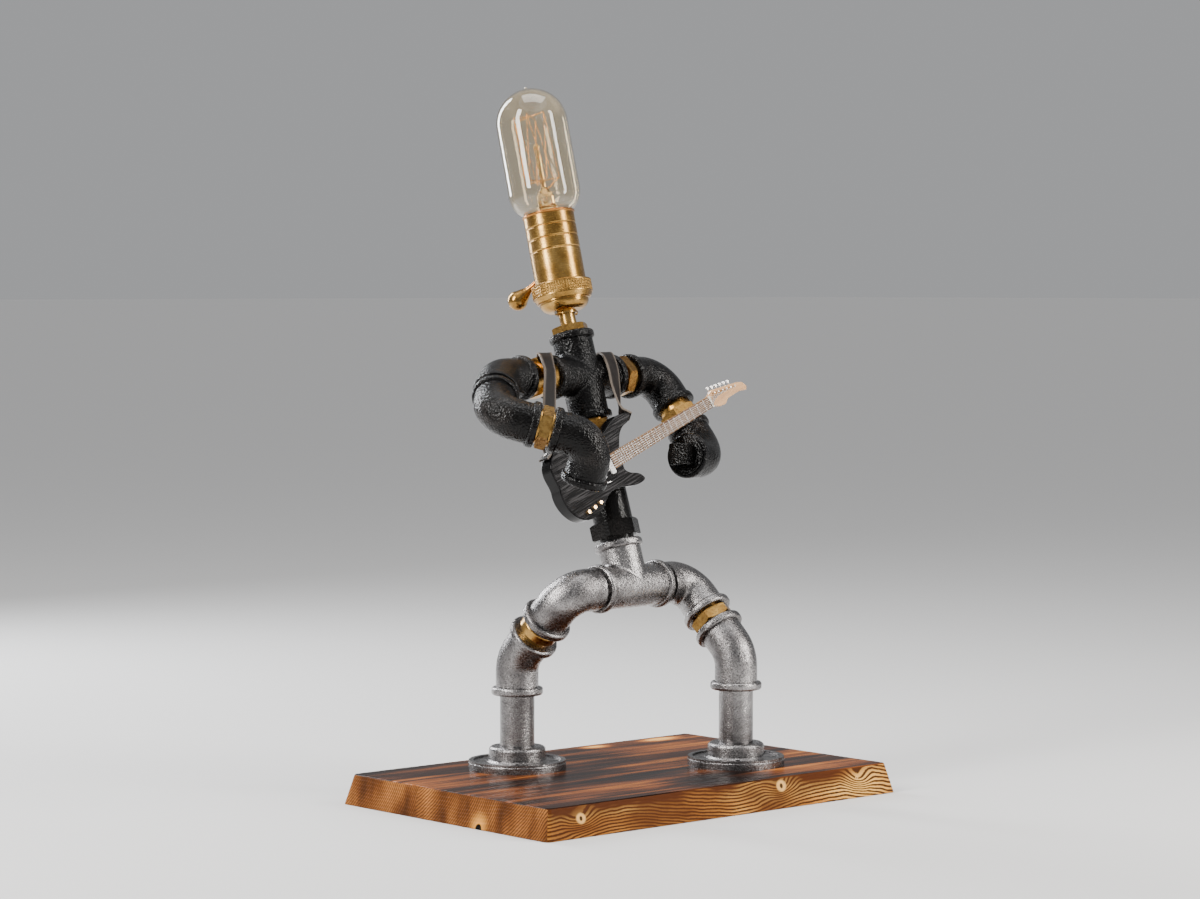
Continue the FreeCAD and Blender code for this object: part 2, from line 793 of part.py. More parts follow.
def guitar_buttons():
    buttons = []
    for place, axis in button_places():
        post = Part.makeCylinder(button_r * 0.6, button_length + 1.0, place - axis, axis)
        cap = Part.makeCylinder(button_r, 0.7, place + axis * (button_length - 0.7), axis)
        buttons.append(post.fuse(cap).removeSplitter())
    return placed(Part.makeCompound(buttons), guitar)


# Strap: stations as place and outward face, in the chest's frame

def over_port(x, slide, angles):
    """Stations round one side port, sliding outwards as the band comes down the front."""
    over = arm_bead_r + strap_gap + strap_thick / 2
    stations = []
    for angle in angles:
        a = math.radians(angle)
        out = V(0, -math.cos(a), math.sin(a))
        stations.append((V(x + slide * math.cos(a), 0, 0) + out * over, out))
    return stations


def under_button(button, way):
    """Stations where a button holds the band: past its hole, at it and short of it."""
    place, axis = button
    down = chest.inverse()
    hole = place + axis * (button_length / 2)
    out = axis_of(down, axis_of(guitar, axis))
    stations = []
    for reach, lift in ((strap_end, 0.0), (0.0, 0.0), (-strap_end, 0.4)):
        stations.append((down.multVec(guitar.multVec(hole + way * reach + axis * lift)), out))
    return stations


def strap_stations():
    tail, horn = button_places()
    left = over_port(strap_left_x, -strap_slide_left, (0, 22, 45, 68, 90, 112))
    right = over_port(strap_right_x, -strap_slide_right, (112, 90, 68, 45, 22, 0))
    left_front = left[0][0]
    right_front = right[-1][0]
    stations = under_button(tail, V(-1, 0, -0.35).normalize())
    stations.append((left_front + V(-11.2, 2.4, -38), V(-0.5, -0.7, 0.35)))
    stations.append((left_front + V(-7.2, 1.3, -25), V(-0.2, -1, 0.05)))
    stations.append((left_front + V(-3.4, 0.6, -12), V(-0.1, -1, 0)))
    stations += left
    stations.append((V(strap_left_x + 13.0, 15.6, 12.6), V(0.1, 0.6, 0.8)))
    stations.append((V(-8.0, 19.2, 14.5), V(-0.3, 1, 0.25)))
    stations.append((V(0.0, 19.9, 15.0), V(0, 1, 0.15)))
    stations.append((V(8.0, 19.2, 14.5), V(0.3, 1, 0.25)))
    stations.append((V(strap_right_x - 11.0, 15.6, 12.6), V(-0.1, 0.6, 0.8)))
    stations += right
    stations.append((right_front + V(-3.4, -2.0, -10), V(0.15, -1, 0)))
    stations.append((right_front + V(-6.6, -4.2, -19), V(0.5, -0.8, 0.15)))
    stations += reversed(under_button(horn, V(0.35, -0.5, -0.75).normalize()))
    return stations


def guitar_strap():
    """Flat band of even width and thickness on a smooth line through its stations."""
    stations = strap_stations()
    line = Part.BSplineCurve()
    line.interpolate(Points=[place for place, out in stations])
    knots = line.getKnots()
    rows = []
    for i in range(len(stations) - 1):
        for part in (0.0, 0.34, 0.67):
            t = knots[i] + (knots[i + 1] - knots[i]) * part
            rows.append((t, stations[i][1] * (1 - part) + stations[i + 1][1] * part))
    rows.append((knots[-1], stations[-1][1]))
    rings = []
    for t, out in rows:
        place = line.value(t)
        along = line.tangent(t)[0]
        across = along.cross(out).normalize()
        side = across * (strap_width / 2)
        face = across.cross(along).normalize() * (strap_thick / 2)
        rings.append([place - side - face, place + side - face, place + side + face, place - side + face])
    faces = []
    for a, b in zip(rings, rings[1:]):
        for k in range(4):
            n = (k + 1) % 4
            faces.append(Part.Face(Part.makePolygon([a[k], a[n], b[k], a[k]])))
            faces.append(Part.Face(Part.makePolygon([a[n], b[n], b[k], a[n]])))
    for ring in (rings[0], rings[-1]):
        faces.append(Part.Face(Part.makePolygon([ring[0], ring[1], ring[2], ring[0]])))
        faces.append(Part.Face(Part.makePolygon([ring[0], ring[2], ring[3], ring[0]])))
    band = Part.Solid(Part.makeShell(faces))
    if band.Volume < 0:
        band.reverse()
    return placed(band, chest)


# Neck of the lampholder

def neck_bushing():
    top = cross_end_reach + bushing_height
    bushing = hexagon(bushing_flats, cross_end_reach + 0.05, top)
    shank = rod(thread_r, cross_end_reach - bushing_shank, cross_end_reach + 0.5)
    bushing = bushing.fuse(shank).cut(rod(stem_r + thread_fit, 0, top + 1))
    return placed(bushing.removeSplitter(), chest)


def neck_stem():
    start = cross_end_reach - bushing_shank
    end = neck_top + cap_wall + 3.0
    stem = rod(stem_r, start, end).cut(rod(stem_bore_r, start - 1, end + 1))
    return placed(stem, chest)


# Lampholder: z runs up its axis from the foot of its cap

def turned(points):
    """Solid of revolution about z from radius and height pairs."""
    corners = [V(r, 0, z) for r, z in points]
    return Part.Face(Part.makePolygon(corners + corners[:1])).revolve(origin, Z, 360)


def dome_radius(height):
    """Outside of the cap's bowl at a height over its throat."""
    part = min(max(height / cap_height, 0), 1)
    return cap_throat_r + (cap_r - cap_throat_r) * math.sqrt(1 - (1 - part) ** 2)


def holder_cap():
    steps = [i * cap_height / 8 for i in range(9)]
    outer = [(dome_radius(z), z) for z in steps]
    flare = [(cap_r + 0.9, cap_height + 0.2), (cap_r + 0.9, cap_height + 1.0)]
    inner = [(dome_radius(z) - cap_wall, z) for z in reversed(steps[1:])]
    hole = stem_r + 0.75
    cap = turned([(hole, -1.2), (cap_throat_r, -1.2)] + outer + flare
                 + [(cap_r - cap_wall, cap_height + 1.0)] + inner + [(hole, cap_wall)])
    for side in (-1, 1):
        boss = Part.makeCylinder(1.7, 3.2, V(side * (cap_throat_r - 0.9), 0, -0.2), X * side)
        cap = cap.fuse(boss)
    cap = cap.cut(rod(hole, -4, cap_wall + 0.5))
    return placed(cap.removeSplitter(), head)


def cap_screw():
    """Grub screw through the cap's boss onto the stem."""
    screw = Part.makeCylinder(0.9, 4.4, V(-stem_r - 0.2, 0, -0.2), X * -1)
    slot = Part.makeBox(1, 0.4, 3, V(-stem_r - 4.9, -0.2, -1.7))
    return placed(screw.cut(slot), head)


ring_foot = cap_height + 1.0


def knurled_ring():
    inside = shell_r + 0.3
    ring = rod(ring_r, ring_foot + ring_lip, ring_foot + ring_lip + ring_height)
    for i in range(knurl_count):
        a = 2 * math.pi * i / knurl_count
        groove = Part.makeCylinder(knurl_depth, ring_height - 1.6,
                                   V(ring_r * math.cos(a), ring_r * math.sin(a), ring_foot + ring_lip + 0.8), Z)
        ring = ring.cut(groove)
    lip = Part.makeCone(ring_r - 1.6, ring_r - 0.5, ring_lip, V(0, 0, ring_foot), Z)
    crown = Part.makeCone(ring_r - 0.4, ring_r - 1.2, 0.6, V(0, 0, ring_foot + ring_lip + ring_height), Z)
    ring = ring.multiFuse([lip, crown])
    seat = rod(cap_r - cap_wall, ring_foot - 1, ring_foot + ring_lip)
    ring = ring.cut(rod(inside, ring_foot + ring_lip, ring_foot + 30)).cut(seat)
    return placed(ring.removeSplitter(), head)


shell_foot = ring_foot + ring_lip + 0.4


def shell_profile(radius):
    """Outside of the shell with its turned steps and rolled lip."""
    points = [(radius, shell_foot)]
    for step in reversed(shell_steps):
        z = shell_foot + shell_rise - step
        points += [(radius, z - shell_step_width), (radius - shell_step_depth, z - shell_step_width / 2), (radius, z)]
    return sorted(points, key=lambda p: p[1])


def knob_axis():
    a = math.radians(knob_azimuth)
    d = math.radians(knob_droop)
    return V(math.cos(a) * math.cos(d), math.sin(a) * math.cos(d), -math.sin(d))


def knob_root():
    """Where the switch spindle leaves the holder's axis."""
    way_out = shell_r / math.cos(math.radians(knob_droop))
    over_ring = (ring_r - shell_r) * math.tan(math.radians(knob_droop))
    exit_z = ring_foot + ring_lip + ring_height + over_ring + knob_neck_r / math.cos(math.radians(knob_droop)) + 0.6
    return V(0, 0, exit_z + way_out * math.sin(math.radians(knob_droop)))


def holder_shell():
    top = shell_foot + shell_rise
    outer = shell_profile(shell_r)
    outer += [(shell_r, top - 2 * lip_r), (shell_r + lip_r * 0.5, top - 1.6 * lip_r)]
    outer += [(shell_r + lip_r * 0.8, top - lip_r), (shell_r + lip_r * 0.4, top - 0.2), (shell_r - 0.4, top)]
    inner = [(shell_r - shell_wall - shell_step_depth, top - 0.4), (shell_r - shell_wall - shell_step_depth, shell_foot)]
    shell = turned(outer + inner)
    hole = Part.makeCylinder(knob_stem_r + knob_hole_fit, 2 * shell_r, knob_root() + knob_axis() * 5, knob_axis())
    return placed(shell.cut(hole), head)


def shell_bore():
    return shell_r - shell_wall - shell_step_depth


def insulator_foot():
    return shell_foot + 1.0


def screw_shell_foot():
    return insulator_foot() + insulator_height


def holder_liner():
    outside = shell_bore() - 0.05
    start = screw_shell_foot() + 0.3
    end = shell_foot + shell_rise - 1.5
    return placed(rod(outside, start, end).cut(rod(outside - liner_wall, start - 1, end + 1)), head)


def holder_insulator():
    """Moulded block that carries the switch, the terminals and the screw shell."""
    block = rod(insulator_r, insulator_foot(), screw_shell_foot())
    spindle = Part.makeCylinder(knob_stem_r + 0.06, 30, knob_root() - knob_axis() * 4.0, knob_axis())
    block = block.cut(spindle)
    for side in (-1, 1):
        hole = rod(terminal_r + 0.02, insulator_foot() - 1, insulator_foot() + terminal_length)
        hole.translate(V(side * 8.0, -4.0, 0))
        block = block.cut(hole)
    return placed(block, head)


def screw_shell():
    start = screw_shell_foot()
    cup = rod(screw_shell_r, start, start + screw_shell_depth)
    bore = rod(screw_shell_r - screw_shell_wall, start + 0.6, start + screw_shell_depth + 1)
    return placed(cup.cut(bore).cut(rod(contact_width, start - 1, start + 1)), head)


def centre_contact():
    start = screw_shell_foot()
    strip = Part.makeBox(2 * contact_width - 2, 4.0, contact_thick, V(1 - contact_width, -2.0, start + 0.02))
    return placed(strip, head)


def terminal_screws():
    screws = []
    for side in (-1, 1):
        base = V(side * 8.0, -4.0, insulator_foot() - 1.6)
        head_part = Part.makeCylinder(terminal_r + 0.9, 1.5, base, Z)
        shank = Part.makeCylinder(terminal_r, terminal_length + 0.4, base + Z, Z)
        slot = Part.makeBox(8, 0.7, 0.7, base + V(-4, -0.35, -0.1))
        screws.append(head_part.fuse(shank).cut(slot).removeSplitter())
    return placed(Part.makeCompound(screws), head)


def switch_spindle():
    """Turned ball and tapering neck on the switch's spindle."""
    ball = knob_reach
    a = math.radians(35)
    side = knob_ball_r * math.sin(a)
    back = ball - knob_ball_r * math.cos(a)
    steps = 12
    arc = []
    for i in range(steps + 1):
        t = a + (math.pi - a) * i / steps
        arc.append((knob_ball_r * math.sin(t), ball - knob_ball_r * math.cos(t)))
    arc[-1] = (0.0, ball + knob_ball_r)
    root = 3.0
    neck = [(knob_stem_r, root), (knob_stem_r, 18.6), (knob_neck_r, 19.2), (knob_neck_r * 0.9, back - 2.0),
            (side * 0.85, back - 0.5)]
    corners = [(0.0, root)] + neck + arc
    knob = turned(corners)
    return placed(placed(knob, facing(knob_root(), knob_axis())), head)


# Bulb, standing in the screw shell

def bulb_foot():
    """Height of the bulb's solder tip on the centre contact."""
    return screw_shell_foot() + 0.02 + contact_thick + contact_gap


def cap_top():
    return bulb_foot() + cap_tip_height + cap_glass_height + cap_tube_length


def bulb_tip():
    start = bulb_foot()
    tip = Part.makeCone(cap_tip_r * 0.6, cap_tip_r, cap_tip_height, V(0, 0, start), Z)
    return placed(tip, head)


def bulb_cap_insulator():
    start = bulb_foot() + cap_tip_height
    glass = Part.makeCone(cap_tip_r + 0.4, cap_tube_r - 1.2, cap_glass_height, V(0, 0, start), Z)
    return placed(glass, head)


def bulb_cap():
    start = bulb_foot() + cap_tip_height + cap_glass_height
    tube = rod(cap_tube_r, start, cap_top())
    return placed(tube.cut(rod(cap_tube_r - 0.4, start + 0.5, cap_top() + 1)), head)


def bulb_outline(inset):
    """Bulb's glass as radius and height pairs, from its neck to its crown."""
    foot = cap_top() - 6.0
    top = shell_foot + shell_rise + bulb_rise
    radius = bulb_r - inset
    mouth = shell_foot + shell_rise
    throat = bulb_throat_r - inset
    points = [(bulb_neck_r - 0.3 - inset, foot), (bulb_neck_r - 0.3 - inset, cap_top() + 0.5), (throat, mouth - 0.6)]
    steps = 12
    for i in range(1, steps + 1):
        a = math.pi / 2 * i / steps
        points.append((throat + (radius - throat) * math.sin(a), mouth + 0.4 + bulb_shoulder * (1 - math.cos(a))))
    centre = top - bulb_r
    for i in range(1, 15):
        a = math.pi / 2 * i / 14
        points.append((max(radius * math.cos(a), 0.0), centre + radius * math.sin(a)))
    return points


def bulb_glass():
    outer = bulb_outline(0.0)
    inner = bulb_outline(bulb_wall)
    outer[-1] = (0.0, outer[-1][1])
    inner[-1] = (0.0, inner[-1][1])
    glass = turned(outer + list(reversed(inner)))
    top = outer[-1][1]
    pip = Part.makeCone(1.6, 0.5, 2.0, V(0, 0, top - 0.3), Z)
    return placed(glass.fuse(pip), head)


def bulb_stem():
    """Glass foot, pinched flat at its top, and the rod that carries the cage."""
    foot = cap_top() - 4.0
    flare = Part.makeCone(bulb_neck_r - 1.6, glass_stem_r, 12.0, V(0, 0, foot), Z)
    neck = rod(glass_stem_r, foot + 12, foot + 12 + 6)
    pinch = Part.makeCone(glass_stem_r, 2.2, 5.0, V(0, 0, foot + 18), Z)
    mast = rod(1.5, foot + 22, foot + 22 + glass_stem_height)
    stem = flare.multiFuse([neck, pinch, mast, Part.makeSphere(2.0, V(0, 0, foot + 22 + glass_stem_height))])
    return placed(stem.removeSplitter(), head)


def cage_levels():
    foot = cap_top() + 24.0
    return foot, foot + 40.0


def cage_corner(i, level):
    a = math.pi * i / cage_turns
    return V(cage_r * math.cos(a), cage_r * math.sin(a), level)


def bulb_filament():
    """One long wire that climbs and falls round the cage."""
    low, high = cage_levels()
    corners = [cage_corner(i, high if i % 2 else low) for i in range(2 * cage_turns - 1)]
    runs = []
    for a, b in zip(corners, corners[1:]):
        runs.append(Part.makeCylinder(filament_r, (b - a).Length, a, b - a))
    joints = [Part.makeSphere(filament_r, c) for c in corners]
    return placed(runs[0].multiFuse(runs[1:] + joints), head)


def bulb_support_wires():
    """Two leads up to the filament's ends and hooks from the mast to its bends."""
    low, high = cage_levels()
    foot = cap_top() + 17.0
    wires = []
    for i in (0, 2 * cage_turns - 2):
        end = cage_corner(i, low - wire_r - filament_r)
        start = V(end.x * 0.12, end.y * 0.12, foot)
        wires.append(Part.makeCylinder(wire_r, (end - start).Length, start, end - start))
    for i in range(1, 2 * cage_turns - 1):
        level = high + wire_r + filament_r if i % 2 else low - wire_r - filament_r
        end = cage_corner(i, level)
        start = V(end.x * 0.1, end.y * 0.1, level)
        wires.append(Part.makeCylinder(wire_r, (end - start).Length, start, end - start))
    return placed(Part.makeCompound(wires), head)


# Lead in two lengths that meet on the tee's run: down the left leg, and up the trunk

def lead_tube(points, radii, name):
    """Round lead through its points, with one arc at each inner point."""
    edges = []
    here = points[0]
    length = 0.0
    for i in range(1, len(points) - 1):
        before = (points[i - 1] - points[i]).normalize()
        after = (points[i + 1] - points[i]).normalize()
        half = before.getAngle(after) / 2
        cut = radii[i - 1] / math.tan(half)
        middle = points[i] + (before + after).normalize() * (radii[i - 1] / math.sin(half) - radii[i - 1])
        first = points[i] + before * cut
        last = points[i] + after * cut
        edges.append(Part.LineSegment(here, first).toShape())
        edges.append(Part.Arc(first, middle, last).toShape())
        here = last
    edges.append(Part.LineSegment(here, points[-1]).toShape())
    path = Part.Wire(edges)
    mouth = Part.Wire(Part.Circle(points[0], points[1] - points[0], lead_r).toShape())
    tube = path.makePipeShell([mouth], True, False)
    section = math.pi * lead_r ** 2
    print(name, "radii", radii, "length", round(path.Length, 1),
          "volume over section times length", round(tube.Volume / (section * path.Length), 4))
    return tube


def lead_lower():
    start = figure.multVec(X * -lead_join)
    hip = figure.multVec(V(-tee_reach - hip_reach, 0, 0))
    knee = figure.multVec(leg_frame(-1)[0])
    foot = V(knee.x, knee.y, lead_height)
    back = V(knee.x, board_width / 2 + board_splay - inlet_face + grommet_flange, lead_height)
    return lead_tube([start, hip, knee, foot, back], [lead_bend_r, lead_bend_r, lead_base_bend_r], "lead_lower")


def lead_upper():
    start = torso.multVec(X * (0.05 - lead_join))
    top = chest.multVec(Z * (neck_top + cap_wall + 2.0))
    return lead_tube([start, torso.multVec(origin), top], [lead_tee_bend_r], "lead_upper")


def holder_wires():
    """Two cores that fan out from the lead to the terminals."""
    wires = []
    start_z = cap_wall + 2.9
    for side in (-1, 1):
        start = V(side * 1.1, 0, start_z)
        end = V(side * 8.0, -4.0, insulator_foot() - 2.3)
        wires.append(Part.makeCylinder(core_r, (end - start).Length, start, end - start))
    return placed(Part.makeCompound(wires), head)


parts = {
    "base_board": base_board,
    "cord_grommet": cord_grommet,
    "left_floor_flange": lambda: floor_flange(-1),
    "right_floor_flange": lambda: floor_flange(1),
    "flange_screws": flange_screws,
    "left_leg_nipple": lambda: leg_nipple(-1),
    "right_leg_nipple": lambda: leg_nipple(1),
    "left_knee_elbow": lambda: knee_elbow(-1),
    "right_knee_elbow": lambda: knee_elbow(1),
    "left_knee_nipple": lambda: knee_nipple(-1),
    "right_knee_nipple": lambda: knee_nipple(1),
    "left_hip_elbow": lambda: hip_elbow(-1),
    "right_hip_elbow": lambda: hip_elbow(1),
    "pelvis_tee": pelvis_tee,
    "spine_extension": spine_extension,
    "chest_nipple": chest_nipple,
    "chest_cross": chest_cross,
    "left_shoulder_nipple": left_shoulder_nipple,
    "left_shoulder_elbow": left_shoulder_elbow,
    "left_upper_arm_nipple": left_upper_arm_nipple,
    "left_elbow": left_elbow,
    "left_wrist_nipple": left_wrist_nipple,
    "left_hand_elbow": left_hand_elbow,
    "right_shoulder_nipple": right_shoulder_nipple,
    "right_arm_elbow": right_arm_elbow,
    "right_wrist_nipple": right_wrist_nipple,
    "right_hand_elbow": right_hand_elbow,
    "right_hand_plug": right_hand_plug,
    "guitar_body": guitar_body,
    "guitar_neck": guitar_neck,
    "guitar_fretboard": guitar_fretboard,
    "guitar_frets": guitar_frets,
    "guitar_nut": guitar_nut,
    "guitar_strings": guitar_strings,
    "guitar_bridge": guitar_bridge,
    "guitar_pickups": guitar_pickups,
    "guitar_knobs": guitar_knobs,
    "guitar_tuners": guitar_tuners,
    "guitar_strap_buttons": guitar_buttons,
    "guitar_strap": guitar_strap,
    "neck_bushing": neck_bushing,
    "neck_stem": neck_stem,
    "holder_cap": holder_cap,
    "cap_screw": cap_screw,
    "knurled_ring": knurled_ring,
    "holder_shell": holder_shell,
    "holder_liner": holder_liner,
    "holder_insulator": holder_insulator,
    "screw_shell": screw_shell,
    "centre_contact": centre_contact,
    "terminal_screws": terminal_screws,
    "holder_wires": holder_wires,
    "switch_knob": switch_spindle,
    "bulb_tip": bulb_tip,
    "bulb_base": lambda: Part.makeCompound([bulb_cap_insulator(), bulb_cap()]),
    "bulb_glass": bulb_glass,
    "bulb_stem": bulb_stem,
    "bulb_filament": lambda: Part.makeCompound([bulb_filament(), bulb_support_wires()]),
    "lead_lower": lead_lower,
    "lead_upper": lead_upper,
}

os.makedirs("parts", exist_ok=True)
for node, make in parts.items():
    shape = make()
    shape.exportStep("parts/" + node + ".step")
    box = shape.BoundBox
    print(node, len(shape.Solids), shape.isValid(), round(shape.Volume),
          [round(v, 1) for v in (box.XMin, box.YMin, box.ZMin, box.XMax, box.YMax, box.ZMax)])
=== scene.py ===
import bpy
import math
from mathutils import Matrix, Vector


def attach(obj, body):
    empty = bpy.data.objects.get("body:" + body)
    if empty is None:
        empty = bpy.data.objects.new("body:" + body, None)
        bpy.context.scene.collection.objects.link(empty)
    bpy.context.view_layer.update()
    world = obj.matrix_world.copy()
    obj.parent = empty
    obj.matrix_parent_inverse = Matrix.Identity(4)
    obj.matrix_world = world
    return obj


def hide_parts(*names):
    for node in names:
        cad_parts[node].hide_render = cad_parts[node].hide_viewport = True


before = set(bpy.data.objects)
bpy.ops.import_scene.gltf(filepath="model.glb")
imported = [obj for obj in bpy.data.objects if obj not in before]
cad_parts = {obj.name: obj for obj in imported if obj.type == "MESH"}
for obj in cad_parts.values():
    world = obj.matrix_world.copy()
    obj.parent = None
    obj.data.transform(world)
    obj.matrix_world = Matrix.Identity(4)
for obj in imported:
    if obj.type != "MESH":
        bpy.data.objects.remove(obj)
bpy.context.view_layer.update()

# Pine base board.
# A splayed slab of pine, scorched with a torch, brushed back along the grain and varnished.
# The scorched top is near black with amber streaks, the long edges are honey with dark rings.


def finish(name):
    """A new material, its shader, and a short way to add a node and join what feeds it."""
    material = bpy.data.materials.new(name)
    material.use_nodes = True
    tree = material.node_tree
    shader = tree.nodes["Principled BSDF"]

    def add(kind, settings=None, **inputs):
        node = tree.nodes.new("ShaderNode" + kind)
        for key, value in (settings or {}).items():
            setattr(node, key, value)
        for key, value in inputs.items():
            feed(node, key.replace("_", " "), value)
        return node

    def feed(node, key, value):
        socket = node.inputs[int(key[1:])] if key[1:].isdigit() else node.inputs[key]
        if isinstance(value, bpy.types.NodeSocket):
            tree.links.new(value, socket)
        else:
            socket.default_value = value

    def dress(**inputs):
        for key, value in inputs.items():
            feed(shader, key.replace("_", " "), value)

    return material, add, dress


def own_place(add, frame_of=None):
    """Object coordinates, seen from a frame of the lamp if one is given."""
    place = add("TexCoord").outputs["Object"]
    if frame_of is None:
        return place
    mapping = add("Mapping", {"vector_type": "TEXTURE"}, Vector=place)
    mapping.inputs["Location"].default_value = frame_of.to_translation()
    mapping.inputs["Rotation"].default_value = frame_of.to_euler()
    return mapping.outputs[0]


def stretched(add, place, scale, shift=(0, 0, 0)):
    """The same place with its three directions stretched and moved."""
    longer = add("VectorMath", {"operation": "MULTIPLY"}, i0=place, i1=scale)
    return add("VectorMath", {"operation": "ADD"}, i0=longer.outputs[0], i1=shift).outputs[0]


def noise(add, place, scale, detail=3.0, rough=0.55, bend=0.0):
    node = add("TexNoise", Vector=place, Scale=scale, Detail=detail, Roughness=rough,
               Distortion=bend)
    return node.outputs["Fac"]


def ramp(add, value, stops):
    """Runs a value through colour stops given as place and grey or colour."""
    node = add("ValToRGB", Fac=value)
    while len(node.color_ramp.elements) < len(stops):
        node.color_ramp.elements.new(0.5)
    for element, (place, colour) in zip(node.color_ramp.elements, stops):
        element.position = place
        element.color = (colour,) * 3 + (1,) if isinstance(colour, float) else tuple(colour) + (1,)
    return node.outputs["Color"]


def sums(add, kind, a, b, clamp=False):
    return add("Math", {"operation": kind, "use_clamp": clamp}, i0=a, i1=b).outputs[0]


def wave(add, kind, value):
    """Maths on a single value: its sine, its cosine or its size."""
    return add("Math", {"operation": kind}, i0=value).outputs[0]


def mixed(add, share, a, b):
    return add("Mix", {"data_type": "RGBA"}, i0=share, i6=a, i7=b).outputs[2]


def raised(add, height, distance, strength=1.0, under=None):
    node = add("Bump", Height=height, Distance=distance, Strength=strength)
    if under is not None:
        node.id_data.links.new(under, node.inputs["Normal"])
    return node.outputs[0]


def give(material, *names):
    """Puts a material on CAD nodes."""
    for name in names:
        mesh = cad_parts[name].data
        mesh.materials.clear()
        mesh.materials.append(material)


def near(add, place, centre, radius):
    """1 at a spot, fading to 0 at its radius, which is given in three directions."""
    away = add("VectorMath", {"operation": "SUBTRACT"}, i0=place, i1=centre).outputs[0]
    away = add("VectorMath", {"operation": "DIVIDE"}, i0=away, i1=radius).outputs[0]
    reach = add("VectorMath", {"operation": "LENGTH"}, i0=away).outputs["Value"]
    fade = add("MapRange", {"interpolation_type": "SMOOTHSTEP"}, i0=reach, i3=1.0, i4=0.0)
    return fade.outputs[0]


def scorched_top(add, place):
    """Long streaks, darker in the middle, with pale wood showing through in a few places."""
    streaks = noise(add, stretched(add, place, (5, 95, 60), (3.1, 0, 0)), 1.0, 5.0, 0.62, 0.35)
    fine = noise(add, stretched(add, place, (16, 520, 300)), 1.0, 3.0, 0.6)
    cloud = noise(add, stretched(add, place, (9, 24, 10), (7.7, 2.0, 0)), 1.0, 2.0, 0.5)
    burn = sums(add, "ADD", sums(add, "MULTIPLY", streaks, 0.72),
                sums(add, "MULTIPLY", cloud, 0.42))
    burn = sums(add, "ADD", burn, sums(add, "MULTIPLY", fine, 0.10))
    board_top, depth = 0.018, 0.02
    for x, y, half_length, half_width, lift in (
            (0.049, 0.080, 0.017, 0.009, 0.30), (0.104, 0.080, 0.024, 0.010, 0.36),
            (-0.035, -0.052, 0.075, 0.013, 0.12), (-0.100, -0.020, 0.06, 0.02, 0.07),
            (0.012, -0.070, 0.055, 0.028, -0.18), (0.090, 0.010, 0.060, 0.05, -0.08)):
        patch = near(add, place, (x, y, board_top), (half_length, half_width, depth))
        burn = sums(add, "ADD", burn, sums(add, "MULTIPLY", patch, lift))
    colour = ramp(add, burn, [(0.50, (0.005, 0.0022, 0.0014)), (0.60, (0.028, 0.0085, 0.0032)),
                              (0.68, (0.15, 0.042, 0.009)), (0.79, (0.44, 0.145, 0.024)),
                              (0.94, (0.88, 0.46, 0.12))])
    return colour, streaks, fine


def flat_cut_edge(add, place, along, height):
    """Long edges: rings cut nearly flat, so they sweep in waves and run round the knots."""
    ring_pitch, ring_waves, ring_sweep, ring_knot = 3100.0, 34.0, 15.0, 17.0
    waves = noise(add, stretched(add, place, (17, 13, 26), (0, 0, 0.4)), 1.0, 3.0, 0.5)
    phase = sums(add, "ADD", sums(add, "MULTIPLY", height, ring_pitch),
                 sums(add, "MULTIPLY", waves, ring_waves))
    sweep = wave(add, "COSINE", sums(add, "MULTIPLY", along, 39.0))
    phase = sums(add, "ADD", phase, sums(add, "MULTIPLY", sweep, ring_sweep))
    front_edge, depth = -0.0925, 0.05
    halo, eyes = None, None
    for x, z, size in ((-0.1133, 0.0105, 0.0017), (0.0451, 0.0130, 0.0019),
                       (0.1089, 0.0115, 0.0006)):
        knot = (x, front_edge, z)
        ring = near(add, place, knot, (0.017, depth, 0.0100))
        phase = sums(add, "ADD", phase, sums(add, "MULTIPLY", ring, ring_knot))
        pale = near(add, place, knot, (3.2 * size, depth, 2.7 * size))
        eye = near(add, place, knot, (size, depth, 1.2 * size))
        halo = pale if halo is None else sums(add, "MAXIMUM", halo, pale)
        eyes = eye if eyes is None else sums(add, "MAXIMUM", eyes, eye)
    jag = noise(add, stretched(add, place, (650, 650, 900)), 1.0, 2.0, 0.6)
    line = sums(add, "ADD", wave(add, "SINE", phase), sums(add, "MULTIPLY", jag, 1.5))
    honey = ramp(add, noise(add, stretched(add, place, (12, 12, 55)), 1.0, 3.0),
                 [(0.30, (0.28, 0.095, 0.018)), (0.50, (0.56, 0.23, 0.042)),
                  (0.70, (0.90, 0.50, 0.13))])
    dark = ramp(add, sums(add, "MULTIPLY", sums(add, "ADD", line, 0.25), 0.5),
                [(0.36, 0.0), (0.60, 0.80), (0.85, 0.97)])
    colour = mixed(add, dark, honey, (0.042, 0.0115, 0.0034, 1))
    smoke = noise(add, stretched(add, place, (13, 13, 34), (2.0, 0, 0)), 1.0, 3.0)
    rim = add("MapRange", i0=height, i1=0.0120, i2=0.0182).outputs[0]
    smoke = sums(add, "ADD", ramp(add, smoke, [(0.43, 0.0), (0.64, 0.82)]),
                 sums(add, "MULTIPLY", rim, 0.45), True)
    colour = mixed(add, smoke, colour, (0.080, 0.022, 0.0055, 1))
    colour = mixed(add, ramp(add, halo, [(0.15, 0.0), (0.45, 0.95)]), colour,
                   (0.86, 0.48, 0.15, 1))
    colour = mixed(add, ramp(add, eyes, [(0.10, 0.0), (0.45, 0.95)]), colour,
                   (0.020, 0.007, 0.003, 1))
    return colour, dark


